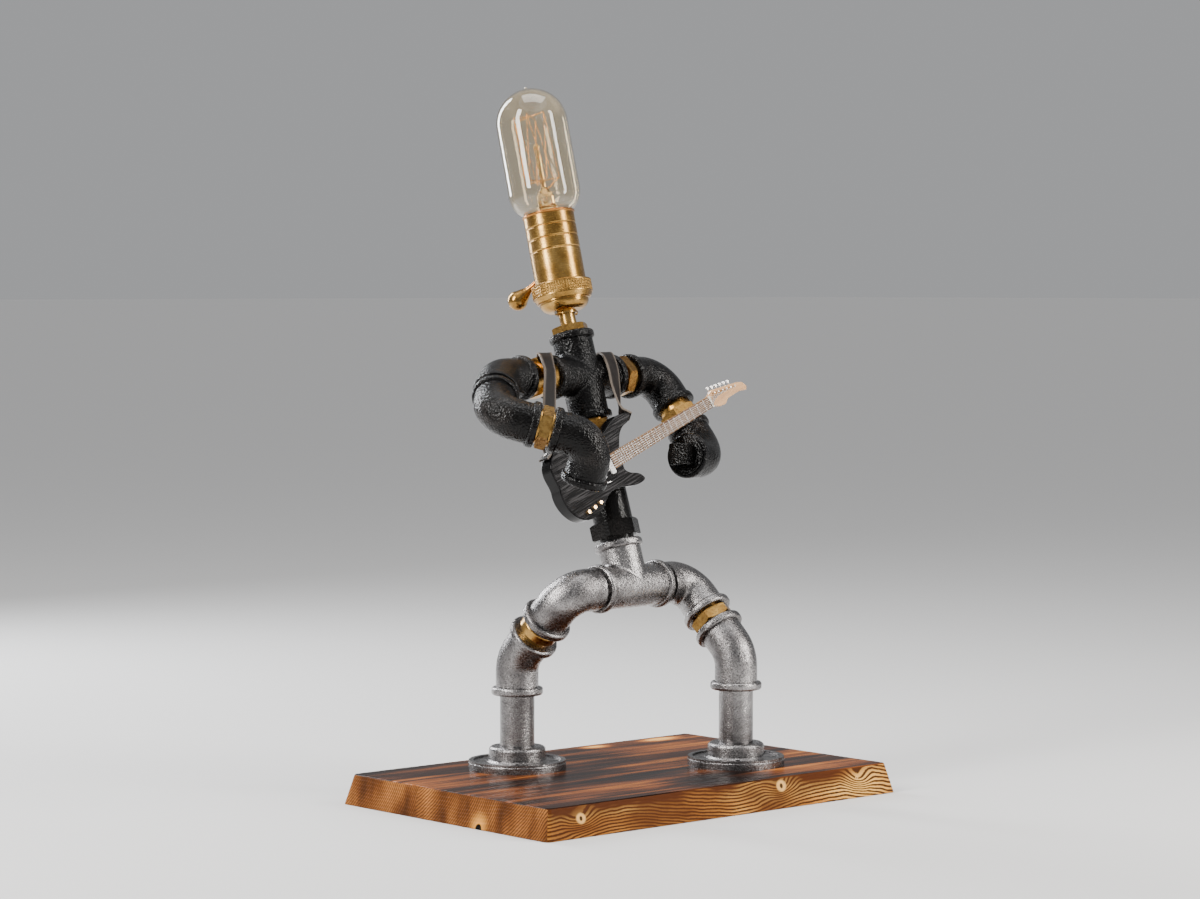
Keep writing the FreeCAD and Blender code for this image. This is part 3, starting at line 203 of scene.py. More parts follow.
def end_grain(add, place, across, height):
    """Ends: arcs of the tree's rings in staves, dark rays, and a lost knot's hollow at the foot as
    painted shade.
    """
    stave_from, stave_to, heart_y, heart_z, ring_pitch = -0.053, 0.0256, 0.052, 0.046, 3700.0
    stave = add("Math", {"operation": "WRAP"}, i0=across, i1=stave_from, i2=stave_to).outputs[0]
    from_heart = add("CombineXYZ", X=0.0, Y=sums(add, "SUBTRACT", stave, heart_y),
                     Z=sums(add, "SUBTRACT", height, heart_z))
    reach = add("VectorMath", {"operation": "LENGTH"}, i0=from_heart.outputs[0])
    sway = noise(add, stretched(add, place, (0, 30, 30)), 1.0, 3.0)
    arc = sums(add, "ADD", sums(add, "MULTIPLY", reach.outputs["Value"], ring_pitch),
               sums(add, "MULTIPLY", sway, 22.0))
    arc = wave(add, "SINE", arc)
    ray = noise(add, stretched(add, place, (0, 40, 16), (0, 4.2, 0)), 1.0, 3.0)
    colour = ramp(add, ray, [(0.34, (0.040, 0.012, 0.004)), (0.48, (0.17, 0.058, 0.014)),
                             (0.68, (0.42, 0.165, 0.042))])
    arc_share = ramp(add, sums(add, "MULTIPLY", sums(add, "ADD", arc, 1.0), 0.5),
                     [(0.40, 0.0), (0.85, 0.85)])
    colour = mixed(add, arc_share, colour, (0.045, 0.015, 0.005, 1))
    left_end, knot_y = -0.139, -0.0332
    glow = near(add, place, (left_end, knot_y, 0.002), (0.02, 0.010, 0.010))
    colour = mixed(add, glow, colour, (0.75, 0.33, 0.06, 1))
    # Painted shade: the lost knot's hollow is not cut in the solid, so a near-black spot stands in
    # for the shade inside it.
    knot_hollow_shade = near(add, place, (left_end, knot_y, 0.0), (0.02, 0.0036, 0.0042))
    return mixed(add, ramp(add, knot_hollow_shade, [(0.05, 0.0), (0.25, 1.0)]), colour,
                 (0.003, 0.0018, 0.0012, 1))


def burnt_pine():
    material, add, dress = finish("burnt_pine")
    place = own_place(add)
    along, across, height = add("SeparateXYZ", Vector=place).outputs
    facing = add("SeparateXYZ", Vector=add("NewGeometry").outputs["True Normal"])
    top = sums(add, "GREATER_THAN", facing.outputs[2], 0.6)
    end = sums(add, "GREATER_THAN", wave(add, "ABSOLUTE", facing.outputs[0]), 0.75)
    top_colour, streaks, fine = scorched_top(add, place)
    side_colour, rings = flat_cut_edge(add, place, along, height)
    colour = mixed(add, end, side_colour, end_grain(add, place, across, height))
    colour = mixed(add, top, colour, top_colour)
    normal = raised(add, mixed(add, top, rings, streaks), 0.00018, 0.7)
    normal = raised(add, fine, 0.00008, 0.6, normal)
    side_gloss, top_gloss = (0.40,) * 3 + (1,), (0.17,) * 3 + (1,)
    gloss = sums(add, "ADD", sums(add, "MULTIPLY", fine, 0.22),
                 mixed(add, top, side_gloss, top_gloss))
    dress(Base_Color=colour, Roughness=gloss, Normal=normal, Specular_IOR_Level=0.05)
    return material


give(burnt_pine(), "base_board")

# Cord inlet in the back edge of the board.
# A moulded black rubber bush, pressed into its hole, with the fine bloom that rubber has.


def moulded(name, colour, bloom, rough):
    material, add, dress = finish(name)
    place = own_place(add)
    cloud = noise(add, place, 260.0, 4.0)
    skin = noise(add, place, 2600.0, 2.0)
    dress(Base_Color=mixed(add, ramp(add, cloud, [(0.35, 0.0), (0.75, 1.0)]), colour, bloom))
    dress(Roughness=ramp(add, cloud, [(0.2, rough - 0.08), (0.8, rough + 0.12)]))
    dress(Normal=raised(add, skin, 0.00004, 0.8))
    return material


give(moulded("inlet_rubber", (0.012, 0.012, 0.013, 1), (0.045, 0.043, 0.042, 1), 0.62),
     "cord_grommet")

# Legs and hips: floor flanges, nipples, elbows and the tee between them.
# Malleable iron dipped in zinc, so the skin is bright, speckled and lumpy from the casting.
# They are screwed into each other, and the flanges stand on the board under four screws each.


def zinc(name, seed, shine, cast=0.7):
    material, add, dress = finish(name)
    place = stretched(add, own_place(add), (1, 1, 1), (seed, seed * 0.37, seed * 0.71))
    worn = noise(add, place, 42.0, 4.0, 0.6, 0.4)
    speck = noise(add, place, 1150.0, 2.0, 0.7)
    lump = noise(add, place, 240.0, 2.0, 0.5)
    bright = ramp(add, worn, [(0.30, (0.12, 0.112, 0.112)), (0.50, (0.255, 0.243, 0.241)),
                              (0.74, (0.47, 0.452, 0.445))])
    pits = ramp(add, speck, [(0.36, 0.60), (0.50, 0.10), (0.62, 0.0)])
    dress(Base_Color=mixed(add, pits, bright, (0.050, 0.045, 0.044, 1)), Metallic=1.0)
    rough = sums(add, "ADD", sums(add, "MULTIPLY", speck, 0.24), sums(add, "MULTIPLY", worn, -0.10))
    dress(Roughness=sums(add, "ADD", rough, shine, True))
    normal = raised(add, lump, 0.00035, cast)
    dress(Normal=raised(add, speck, 0.00034, 0.8, normal))
    return material


give(zinc("zinc_cast", 3.0, 0.20), "left_floor_flange", "right_floor_flange", "left_knee_elbow",
     "right_knee_elbow", "left_hip_elbow", "right_hip_elbow", "pelvis_tee")
give(zinc("zinc_pipe", 11.0, 0.15, 0.2), "left_leg_nipple", "right_leg_nipple")
give(zinc("zinc_screw", 23.0, 0.12), "flange_screws")

# Spine, chest, arms and hands: extension, cross, elbows, hidden nipple and square-headed plug.
# Black iron fittings, oiled and lacquered: a pebbled casting skin under a hard gloss.
# They are screwed onto the tee and each other, and the paint is worn grey in spots.


def black_iron(name, seed, skin, bare, foot=None):
    material, add, dress = finish(name)
    own = own_place(add)
    place = stretched(add, own, (1, 1, 1), (seed, seed * 0.53, seed * 0.29))
    cloud = noise(add, place, 46.0, 4.0, 0.6, 0.3)
    cells = add("TexVoronoi", {"feature": "SMOOTH_F1"}, Vector=place, Scale=820.0, Smoothness=0.5)
    pebble = cells.outputs["Distance"]
    grit = noise(add, place, 1700.0, 3.0, 0.65)
    lump = noise(add, place, 190.0, 2.0)
    colour = ramp(add, cloud, [(0.30, (0.0012, 0.0011, 0.0012)),
                               (0.56, (0.0030, 0.0026, 0.0024)),
                               (0.80, (0.010, 0.0070, 0.0055))])
    worn = ramp(add, sums(add, "MULTIPLY", grit, cloud), [(0.30, 0.0), (0.42, bare)])
    if foot is not None:
        low = near(add, own, foot, (0.021, 0.021, 0.021))
        chips = sums(add, "MULTIPLY", low, ramp(add, grit, [(0.42, 0.0), (0.60, 0.9)]))
        worn = sums(add, "MAXIMUM", worn, chips)
    dress(Base_Color=mixed(add, worn, colour, (0.10, 0.09, 0.086, 1)))
    dress(Specular_IOR_Level=0.17)
    dress(Roughness=ramp(add, grit, [(0.30, 0.12), (0.70, 0.27)]))
    normal = raised(add, lump, 0.00035, 0.5)
    normal = raised(add, pebble, 0.00050, skin, normal)
    dress(Normal=raised(add, grit, 0.00010, skin, normal))
    return material


give(black_iron("black_iron_cast", 5.0, 0.85, 0.35), "chest_cross", "left_shoulder_elbow",
     "left_upper_arm_nipple", "left_elbow", "left_hand_elbow", "right_arm_elbow",
     "right_hand_elbow", "right_hand_plug")
spine_foot = (0.008, 0.014, 0.155)
give(black_iron("black_spine_paint", 9.0, 0.35, 0.2, spine_foot), "spine_extension")

# Nipples at the knees, the chest, the shoulders and the wrists.
# Machined from hexagon brass bar, screwed up tight, and left to tarnish brown in the corners.


def brass(name, seed, frame_of, age, rough, browned=None, knurl=None):
    """Brass, browned between two heights and knurled between two heights if they are given."""
    material, add, dress = finish(name)
    own = own_place(add, frame_of)
    place = stretched(add, own, (1, 1, 1), (seed, seed * 0.61, seed * 0.17))
    cloud = noise(add, place, 95.0, 4.0, 0.6, 0.5)
    spot = noise(add, place, 520.0, 3.0, 0.6)
    cut = noise(add, stretched(add, own, (60, 60, 5200)), 1.0, 2.0, 0.6)
    clean = ramp(add, cloud, [(0.28, (0.30, 0.155, 0.036)), (0.52, (0.42, 0.240, 0.066)),
                              (0.76, (0.56, 0.350, 0.115))])
    stain = sums(add, "ADD", sums(add, "MULTIPLY", cloud, 0.5), sums(add, "MULTIPLY", spot, 0.5))
    stain = ramp(add, stain, [(0.30, age), (0.46, age * 0.35), (0.60, 0.0)])
    colour = mixed(add, stain, clean, (0.16, 0.072, 0.022, 1))
    height = add("SeparateXYZ", Vector=own).outputs[2]
    if browned is not None:
        lip = add("MapRange", i0=height, i1=browned[0], i2=browned[1]).outputs[0]
        colour = mixed(add, sums(add, "MULTIPLY", lip, 0.8), colour, (0.50, 0.165, 0.040, 1))
    dress(Base_Color=colour, Metallic=1.0)
    gloss = sums(add, "ADD", sums(add, "MULTIPLY", cut, 0.16), sums(add, "MULTIPLY", spot, 0.14))
    dress(Roughness=sums(add, "ADD", gloss, rough - 0.13, True))
    normal = raised(add, cut, 0.000035, 0.8)
    normal = raised(add, spot, 0.00002, 0.5, normal)
    if knurl is not None:
        teeth, slope = 72.0, 3600.0
        flat = add("SeparateXYZ", Vector=own)
        angle = add("Math", {"operation": "ARCTAN2"}, i0=flat.outputs[1], i1=flat.outputs[0])
        around = sums(add, "MULTIPLY", angle.outputs[0], teeth)
        slant = sums(add, "MULTIPLY", height, slope)
        one = wave(add, "SINE", sums(add, "ADD", around, slant))
        two = wave(add, "SINE", sums(add, "SUBTRACT", around, slant))
        inside = sums(add, "MULTIPLY", sums(add, "GREATER_THAN", height, knurl[0]),
                      sums(add, "LESS_THAN", height, knurl[1]))
        ridges = sums(add, "MULTIPLY", sums(add, "MAXIMUM", one, two), inside)
        normal = raised(add, ridges, 0.00022, 1.0, normal)
    dress(Normal=normal)
    return material


give(brass("brass_nipple", 2.0, None, 0.85, 0.27), "left_knee_nipple", "right_knee_nipple",
     "chest_nipple", "left_shoulder_nipple", "left_wrist_nipple", "right_shoulder_nipple",
     "right_wrist_nipple")

# Guitar body.
# A small solid body of open-pored wood under thin black lacquer, its sides buffed to a gloss.
# It hangs from the strap and rests against the front of the trunk.


def turn(axis, degrees):
    return Matrix.Rotation(math.radians(degrees), 4, axis)


guitar_frame = (Matrix.Translation((-0.0294, 0.0013, 0.1945))
                @ turn("Z", -3.3) @ turn("X", -14.6) @ turn("Y", -22.4))


def lacquered_wood():
    material, add, dress = finish("guitar_lacquer")
    own = own_place(add, guitar_frame)
    up = guitar_frame.to_3x3() @ Vector((0, -1, 0))
    facing = add("NewGeometry").outputs["True Normal"]
    face = add("VectorMath", {"operation": "DOT_PRODUCT"}, i0=facing, i1=up)
    top = ramp(add, face.outputs["Value"], [(0.72, 0.0), (0.90, 1.0)])
    pores = noise(add, stretched(add, own, (48, 300, 1150)), 1.0, 3.0, 0.6, 0.25)
    bands = noise(add, stretched(add, own, (40, 40, 160), (0, 0, 5.0)), 1.0, 3.0, 0.6)
    rub = noise(add, own, 90.0, 4.0)
    open_grain = ramp(add, pores, [(0.44, 0.0), (0.54, 1.0)])
    wood = mixed(add, open_grain, (0.0008, 0.0008, 0.0008, 1), (0.0140, 0.0130, 0.0136, 1))
    pale = sums(add, "MULTIPLY", ramp(add, bands, [(0.42, 0.0), (0.75, 0.7)]), open_grain)
    wood = mixed(add, pale, wood, (0.065, 0.060, 0.062, 1))
    side = ramp(add, rub, [(0.30, (0.0015, 0.0015, 0.0018)), (0.75, (0.0055, 0.005, 0.005))])
    dress(Base_Color=mixed(add, top, side, wood))
    buffed = ramp(add, rub, [(0.3, 0.10), (0.8, 0.24)])
    dress(Roughness=mixed(add, top, buffed, ramp(add, pores, [(0.3, 0.70), (0.7, 0.42)])))
    normal = raised(add, sums(add, "MULTIPLY", open_grain, top), 0.00035, 0.9)
    dress(Normal=raised(add, rub, 0.00010, 0.3, normal))
    dress(Specular_IOR_Level=0.16)
    return material


give(lacquered_wood(), "guitar_body")

# Guitar neck, headstock, fingerboard and nut.
# Maple, rubbed smooth and waxed, with an unwaxed fingerboard glued on, darkened as painted shade
# between the strings.
# The neck is glued into the body's pocket, and the nut lies at the board's end.


def maple(name, light, dark, seed, wax=0.3):
    material, add, dress = finish(name)
    own = stretched(add, own_place(add, guitar_frame), (1, 1, 1), (seed, 0, seed))
    grain = noise(add, stretched(add, own, (35, 420, 420)), 1.0, 4.0, 0.6, 0.4)
    flame = noise(add, stretched(add, own, (240, 60, 60)), 1.0, 2.0)
    colour = mixed(add, ramp(add, grain, [(0.30, 0.0), (0.72, 1.0)]), light, dark)
    colour = mixed(add, ramp(add, flame, [(0.45, 0.0), (0.8, 0.22)]), colour, dark)
    dress(Base_Color=colour, Roughness=ramp(add, grain, [(0.25, 0.30), (0.8, 0.46)]))
    dress(Normal=raised(add, grain, 0.00005, 0.6), Coat_Weight=wax, Coat_Roughness=0.15)
    dress(Specular_IOR_Level=0.15 + wax)
    return material


give(maple("maple_neck", (0.68, 0.385, 0.160, 1), (0.42, 0.195, 0.062, 1), 1.0), "guitar_neck")
# Painted shade: the fingerboard's maple is darkened to stand in for the shade between the strings.
give(maple("maple_fingerboard_painted_shade", (0.26, 0.140, 0.062, 1), (0.105, 0.050, 0.022, 1), 4.0, 0.0),
     "guitar_fretboard")
give(moulded("bone_nut", (0.86, 0.82, 0.72, 1), (0.62, 0.55, 0.42, 1), 0.38), "guitar_nut")

# Guitar fittings: frets, strings, bridge, tremolo arm, tuners, strap buttons, knobs and pickups.
# Drawn and plated steel, brass-coloured knobs and pale moulded pickup covers.


def plated(name, bright, dull, rough, seed):
    material, add, dress = finish(name)
    place = stretched(add, own_place(add), (1, 1, 1), (seed, seed, seed))
    cloud = noise(add, place, 420.0, 3.0)
    scratch = noise(add, stretched(add, place, (900, 3500, 3500)), 1.0, 2.0)
    colour = mixed(add, ramp(add, cloud, [(0.40, 0.0), (0.72, 1.0)]), bright, dull)
    dress(Base_Color=colour, Metallic=1.0)
    dress(Roughness=ramp(add, scratch, [(0.2, rough), (0.8, rough + 0.16)]))
    dress(Normal=raised(add, scratch, 0.00001, 0.6))
    return material


give(plated("plated_steel", (0.80, 0.77, 0.74, 1), (0.45, 0.43, 0.41, 1), 0.20, 1.0),
     "guitar_bridge", "guitar_tuners", "guitar_strap_buttons")
give(plated("wound_steel", (0.50, 0.47, 0.45, 1), (0.28, 0.26, 0.24, 1), 0.32, 2.0),
     "guitar_frets", "guitar_strings")
give(plated("gilded_knob", (0.95, 0.66, 0.34, 1), (0.55, 0.30, 0.12, 1), 0.20, 6.0), "guitar_knobs")
give(moulded("pale_pickup", (0.80, 0.80, 0.79, 1), (0.60, 0.59, 0.57, 1), 0.32), "guitar_pickups")

# Guitar strap.
# One flat strip of soft dark brown leather, square at both ends, with paler cut edges that also
# carry a painted highlight.
# It runs from the tail button up over the left side port, behind the neck and down to the horn.

figure_frame = Matrix.Translation((0.008, 0.004, 0.1274)) @ turn("Z", 5.0)
torso_frame = figure_frame @ turn("X", -17.4)
chest_frame = torso_frame @ Matrix.Translation((0, 0, 0.1317)) @ turn("Z", 1.5)
strap_width = 0.0090
strap_thick = 0.0011
port_radius, strap_gap, strap_cad_thick = 0.0139, 0.0003, 0.0009
strap_lift = port_radius + strap_gap + strap_cad_thick / 2


def over_port(x, slide, angles):
    """Places and outward faces round a side port, sliding outwards as the band comes forward."""
    rows = []
    for degrees in angles:
        a = math.radians(degrees)
        out = Vector((0, -math.cos(a), math.sin(a)))
        rows.append((Vector((x + slide * math.cos(a), 0, 0)) + out * strap_lift, out))
    return rows


def under_button(place, axis, way):
    """Where a button holds the band: past its hole, at it and short of it."""
    back = chest_frame.inverted() @ guitar_frame
    place, axis, way = Vector(place), Vector(axis).normalized(), Vector(way).normalized()
    out = (back.to_3x3() @ axis).normalized()
    hole = place + axis * 0.0012
    return [(back @ (hole + way * reach + axis * lift), out)
            for reach, lift in ((0.0034, 0), (0, 0), (-0.0034, 0.0004))]


def strap_route():
    """Places and outward faces along the band, in metres, in the chest's frame."""
    left = over_port(-0.0285, -0.0144, (0, 22, 45, 68, 90, 112))
    right = over_port(0.025, -0.011, (112, 90, 68, 45, 22, 0))
    left_front, right_front = left[0][0], right[-1][0]
    rows = under_button((-0.014, 0.005, 0.0212), (-0.35, 0, 1), (-1, 0, -0.35))
    rows.append((left_front + Vector((-0.0112, 0.0024, -0.038)), Vector((-0.5, -0.7, 0.35))))
    rows.append((left_front + Vector((-0.0072, 0.0013, -0.025)), Vector((-0.2, -1, 0.05))))
    rows.append((left_front + Vector((-0.0034, 0.0006, -0.012)), Vector((-0.1, -1, 0))))
    rows += left
    rows.append((Vector((-0.0155, 0.0156, 0.0126)), Vector((0.1, 0.6, 0.8))))
    rows.append((Vector((-0.008, 0.0192, 0.0145)), Vector((-0.3, 1, 0.25))))
    rows.append((Vector((0, 0.0199, 0.015)), Vector((0, 1, 0.15))))
    rows.append((Vector((0.008, 0.0192, 0.0145)), Vector((0.3, 1, 0.25))))
    rows.append((Vector((0.014, 0.0156, 0.0126)), Vector((-0.1, 0.6, 0.8))))
    rows += right
    rows.append((right_front + Vector((-0.0034, -0.002, -0.010)), Vector((0.15, -1, 0))))
    rows.append((right_front + Vector((-0.0066, -0.0042, -0.019)), Vector((0.5, -0.8, 0.15))))
    horn = under_button((0.0538, 0.005, 0.0193), (0.9, 0, 0.42), (0.35, -0.5, -0.75))
    return rows + horn[::-1]


def smooth_rows(rows, parts):
    """A curve through the rows' places, with its direction and outward face."""
    made = []
    for i in range(len(rows) - 1):
        a, b, c, d = (rows[min(max(i + k, 0), len(rows) - 1)] for k in (-1, 0, 1, 2))
        gap = (c[0] - b[0]).length
        out_of = (c[0] - a[0]).normalized() * gap
        into = (d[0] - b[0]).normalized() * gap
        for k in range(parts):
            t = k / parts
            place = (b[0] * (2 * t ** 3 - 3 * t ** 2 + 1) + out_of * (t ** 3 - 2 * t ** 2 + t)
                     + c[0] * (3 * t ** 2 - 2 * t ** 3) + into * (t ** 3 - t ** 2))
            made.append((place, b[1].lerp(c[1], t)))
    made.append(rows[-1])
    return made


def leather(name, light, dark):
    material, add, dress = finish(name)
    own = own_place(add)
    hide = noise(add, own, 130.0, 5.0, 0.6, 0.4)
    pore = add("TexVoronoi", Vector=own, Scale=1900.0).outputs["Distance"]
    crease = noise(add, stretched(add, own, (420, 420, 1500)), 1.0, 3.0, 0.6)
    edge = add("Attribute", {"attribute_name": "edge"}).outputs["Fac"]
    colour = mixed(add, ramp(add, hide, [(0.30, 0.0), (0.72, 1.0)]), dark, light)
    # Painted highlight: the cut edges are lightened, partly for their paler leather and partly for
    # the bright line of light along them.
    colour = mixed(add, sums(add, "MULTIPLY", edge, 0.75), colour, (0.17, 0.14, 0.115, 1))
    dress(Base_Color=colour, Roughness=ramp(add, hide, [(0.2, 0.50), (0.8, 0.70)]))
    dress(Specular_IOR_Level=0.16)
    normal = raised(add, pore, 0.00006, 0.7)
    dress(Normal=raised(add, crease, 0.00012, 0.6, normal))
    return material


def strap_band():
    """A flat grid laid along the route, then given its thickness and rounded edges."""
    rows = smooth_rows(strap_route(), 6)
    across, crown_height, edge_round = 6, 0.00012, 0.00028
    bpy.ops.object.select_all(action="DESELECT")
    bpy.ops.mesh.primitive_grid_add(x_subdivisions=across, y_subdivisions=len(rows) - 1, size=1.0)
    band = bpy.context.object
    band.name = "strap_leather_band"
    points = sorted(band.data.vertices, key=lambda v: (round(v.co.y, 5), v.co.x))
    edge = band.data.attributes.new("edge", "FLOAT", "POINT")
    for j, (place, out) in enumerate(rows):
        ahead = rows[min(j + 1, len(rows) - 1)][0] - rows[max(j - 1, 0)][0]
        side = ahead.cross(out).normalized()
        face = side.cross(ahead).normalized()
        for i in range(across + 1):
            share = i / across * 2 - 1
            crown = (1 - share ** 2) * crown_height
            vertex = points[j * (across + 1) + i]
            vertex.co = chest_frame @ (place + side * share * strap_width / 2 + face * crown)
            edge.data[vertex.index].value = 1.0 if abs(share) > 0.9 else 0.0
    bpy.ops.object.mode_set(mode="EDIT")
    bpy.ops.mesh.select_all(action="SELECT")
    bpy.ops.mesh.normals_make_consistent(inside=False)
    bpy.ops.object.mode_set(mode="OBJECT")
    bpy.ops.object.modifier_add(type="SOLIDIFY")
    band.modifiers[-1].thickness = strap_thick
    band.modifiers[-1].offset = 0.0
    bpy.ops.object.modifier_apply(modifier=band.modifiers[-1].name)
    bpy.ops.object.modifier_add(type="BEVEL")
    band.modifiers[-1].width = edge_round
    band.modifiers[-1].segments = 2
    band.modifiers[-1].angle_limit = math.radians(60)
    bpy.ops.object.modifier_apply(modifier=band.modifiers[-1].name)
    bpy.ops.object.shade_smooth()
    return band


band = strap_band()
band.data.materials.append(
    leather("strap_hide", (0.019, 0.0148, 0.0130, 1), (0.0060, 0.0047, 0.0043, 1)))
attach(band, "torso")
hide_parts("guitar_strap")

# Neck and lampholder: bushing, stem, cap with its grub screw, knurled ring and stepped shell.
# Spun and turned brass, brushed round its axis, with old lacquer browned at the lip.

head_frame = chest_frame @ Matrix.Translation((0, 0, 0.0415)) @ turn("X", 3.2)

give(brass("brass_holder", 7.0, head_frame, 0.22, 0.23, (0.0600, 0.0622)), "holder_shell")
give(brass("brass_ring", 7.0, head_frame, 0.22, 0.26, None, (0.0108, 0.0172)), "knurled_ring")
give(brass("brass_cap", 7.0, head_frame, 0.35, 0.22), "holder_cap", "neck_stem")
give(brass("brass_bushing", 8.0, chest_frame, 0.65, 0.26), "neck_bushing")
give(plated("screw_steel", (0.70, 0.67, 0.62, 1), (0.36, 0.34, 0.31, 1), 0.26, 3.0),
     "cap_screw", "terminal_screws")

# Turn switch: a spindle that widens like a trumpet into a round brass knob.
# Turned from one rod and polished by fingers; it turns in the hole above the knurled ring.


def turned_sheet(name, rings, frame_of, steps, closed=False):
    """Extrudes and resizes a ring of edges up a list of radius and height, and closes its crown."""
    bpy.ops.object.select_all(action="DESELECT")
    bpy.ops.mesh.primitive_circle_add(vertices=steps, radius=rings[0][0], location=(0, 0, 0))
    piece = bpy.context.object
    piece.name = name
    bpy.ops.object.mode_set(mode="EDIT")
    bpy.ops.mesh.select_all(action="SELECT")
    bpy.ops.transform.translate(value=(0, 0, rings[0][1]))
    for (r0, z0), (r1, z1) in zip(rings, rings[1:]):
        bpy.ops.mesh.extrude_region_move(TRANSFORM_OT_translate={"value": (0, 0, z1 - z0)})
        share = max(r1, 0.00002) / max(r0, 0.00002)
        bpy.ops.transform.resize(value=(share, share, 1), center_override=(0, 0, z1))
    if rings[-1][0] < 0.0001:
        bpy.ops.mesh.merge(type="CENTER")
    bpy.ops.mesh.select_all(action="SELECT")
    bpy.ops.mesh.remove_doubles(threshold=0.000002)
    if closed:
        bpy.ops.mesh.select_all(action="DESELECT")
        bpy.ops.mesh.select_non_manifold()
        bpy.ops.mesh.edge_face_add()
        bpy.ops.mesh.select_all(action="SELECT")
    bpy.ops.mesh.normals_make_consistent(inside=False)
    bpy.ops.object.mode_set(mode="OBJECT")
    piece.data.transform(frame_of)
    bpy.ops.object.shade_smooth()
    return piece


def knob_rings():
    """Radius and reach from the holder's axis, from the spindle's root out to the knob's end."""
    rings = [(0.0016, 0.0060), (0.0016, 0.0212), (0.0019, 0.0228), (0.0022, 0.0246),
             (0.0027, 0.0262), (0.0037, 0.0282)]
    knob_radius, knob_half, knob_middle = 0.0063, 0.0060, 0.0350
    for i in range(11):
        a = math.radians(-38 + 12.3 * i)
        rings.append((knob_radius * math.cos(a), knob_middle + knob_half * math.sin(a)))
    return rings + [(0.0012, 0.04106), (0.00002, 0.0411)]


round_holder, droop = math.radians(110), math.radians(30)
way = Vector((math.cos(round_holder), math.sin(round_holder), -math.tan(droop)))
way = head_frame.to_3x3() @ way
knob_frame = (Matrix.Translation(head_frame @ Vector((0, 0, 0.03178)))
              @ way.to_track_quat("Z", "Y").to_matrix().to_4x4())
knob = turned_sheet("switch_knob_turned", knob_rings(), knob_frame, 48, True)
knob.data.materials.append(brass("brass_knob", 12.0, knob_frame, 0.75, 0.20, (0.0300, 0.0180)))
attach(knob, "switch")
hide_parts("switch_knob")

# Inside the holder: card liner, moulded block, screw shell, centre contact and wires.
# Brown card, black moulded plastic, thin pressed metal and plastic-sheathed copper.
# The shell and the contact are riveted to the block.

give(moulded("liner_card", (0.32, 0.20, 0.10, 1), (0.20, 0.11, 0.05, 1), 0.80), "holder_liner")
give(moulded("black_moulding", (0.010, 0.009, 0.009, 1), (0.030, 0.027, 0.026, 1), 0.34),
     "holder_insulator")
give(moulded("wire_sheath", (0.55, 0.06, 0.03, 1), (0.30, 0.03, 0.02, 1), 0.45), "holder_wires")
give(plated("screw_shell_metal", (0.80, 0.62, 0.34, 1), (0.50, 0.34, 0.15, 1), 0.24, 9.0),
     "screw_shell", "centre_contact")

# Bulb: solder tip, aluminium screw cap, long tubular glass, glass foot and cage filament.
# The cap screws into the holder's shell, and the glass is cemented into the cap.
# The glass is blown and faintly amber, sealed to the foot, which carries the wires.

give(plated("cap_aluminium", (0.78, 0.77, 0.76, 1), (0.50, 0.49, 0.48, 1), 0.28, 4.0), "bulb_base")
give(plated("solder_tip", (0.62, 0.60, 0.57, 1), (0.35, 0.33, 0.31, 1), 0.34, 5.0), "bulb_tip")


def thicken(piece, wall):
    bpy.ops.object.select_all(action="DESELECT")
    piece.select_set(True)
    bpy.context.view_layer.objects.active = piece
    bpy.ops.object.modifier_add(type="SOLIDIFY")
    piece.modifiers[-1].thickness = wall
    piece.modifiers[-1].offset = -1.0
    bpy.ops.object.modifier_apply(modifier=piece.modifiers[-1].name)


def blown_glass():
    material, add, dress = finish("amber_glass")
    own = own_place(add, head_frame)
    ripple = noise(add, stretched(add, own, (60, 60, 25)), 1.0, 2.0)
    dust = noise(add, own, 900.0, 3.0, 0.7)
    dress(Base_Color=mixed(add, ramp(add, ripple, [(0.3, 0.0), (0.8, 1.0)]),
                           (0.965, 0.895, 0.77, 1), (0.94, 0.845, 0.67, 1)))
    dress(Roughness=ramp(add, dust, [(0.62, 0.0), (0.80, 0.10)]))
    dress(Normal=raised(add, ripple, 0.0006, 0.12))
    seed = add("TexVoronoi", Vector=own, Scale=230.0).outputs["Distance"]
    dress(Transmission_Weight=ramp(add, seed, [(0.05, 0.3), (0.09, 1.0)]))
    dress(IOR=1.47, Specular_IOR_Level=0.6)
    return material


def bulb_rings():
    """Outside of the glass from inside the cap up to its crown, in the head's frame."""
    mouth, radius, throat, crown = 0.0625, 0.0223, 0.0132, 0.1418
    rings = [(0.0123, 0.0538), (0.0123, 0.0603), (throat, mouth - 0.0006)]
    shoulder_from, shoulder_height = mouth + 0.0004, 0.014
    for i in range(1, 15):
        a = math.pi / 2 * i / 14
        rings.append((throat + (radius - throat) * math.sin(a),
                      shoulder_from + shoulder_height * (1 - math.cos(a))))
    for i in range(22):
        a = math.pi / 2 * i / 22
        rings.append((radius * math.cos(a), crown - radius + radius * math.sin(a)))
    return rings + [(0.0013, crown + 0.0002), (0.0008, crown + 0.0011), (0.00002, crown + 0.0017)]


glass_wall = 0.0007
glass = turned_sheet("bulb_envelope", bulb_rings(), head_frame, 96)
thicken(glass, glass_wall)
glass.data.materials.append(blown_glass())
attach(glass, "bulb")
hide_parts("bulb_glass")


def foot_glass():
    material, add, dress = finish("foot_glass")
    own = own_place(add, head_frame)
    streak = noise(add, stretched(add, own, (260, 260, 70)), 1.0, 3.0)
    # Painted reflection: the foot's orange tint stands in for the brass reflected in the stem's
    # base.
    dress(Base_Color=mixed(add, ramp(add, streak, [(0.35, 0.0), (0.75, 1.0)]),
                           (0.98, 0.80, 0.42, 1), (0.92, 0.52, 0.14, 1)))
    dress(Roughness=ramp(add, streak, [(0.3, 0.02), (0.9, 0.12)]))
    dress(Normal=raised(add, streak, 0.0006, 0.5))
    dress(Transmission_Weight=0.9, IOR=1.5)
    return material


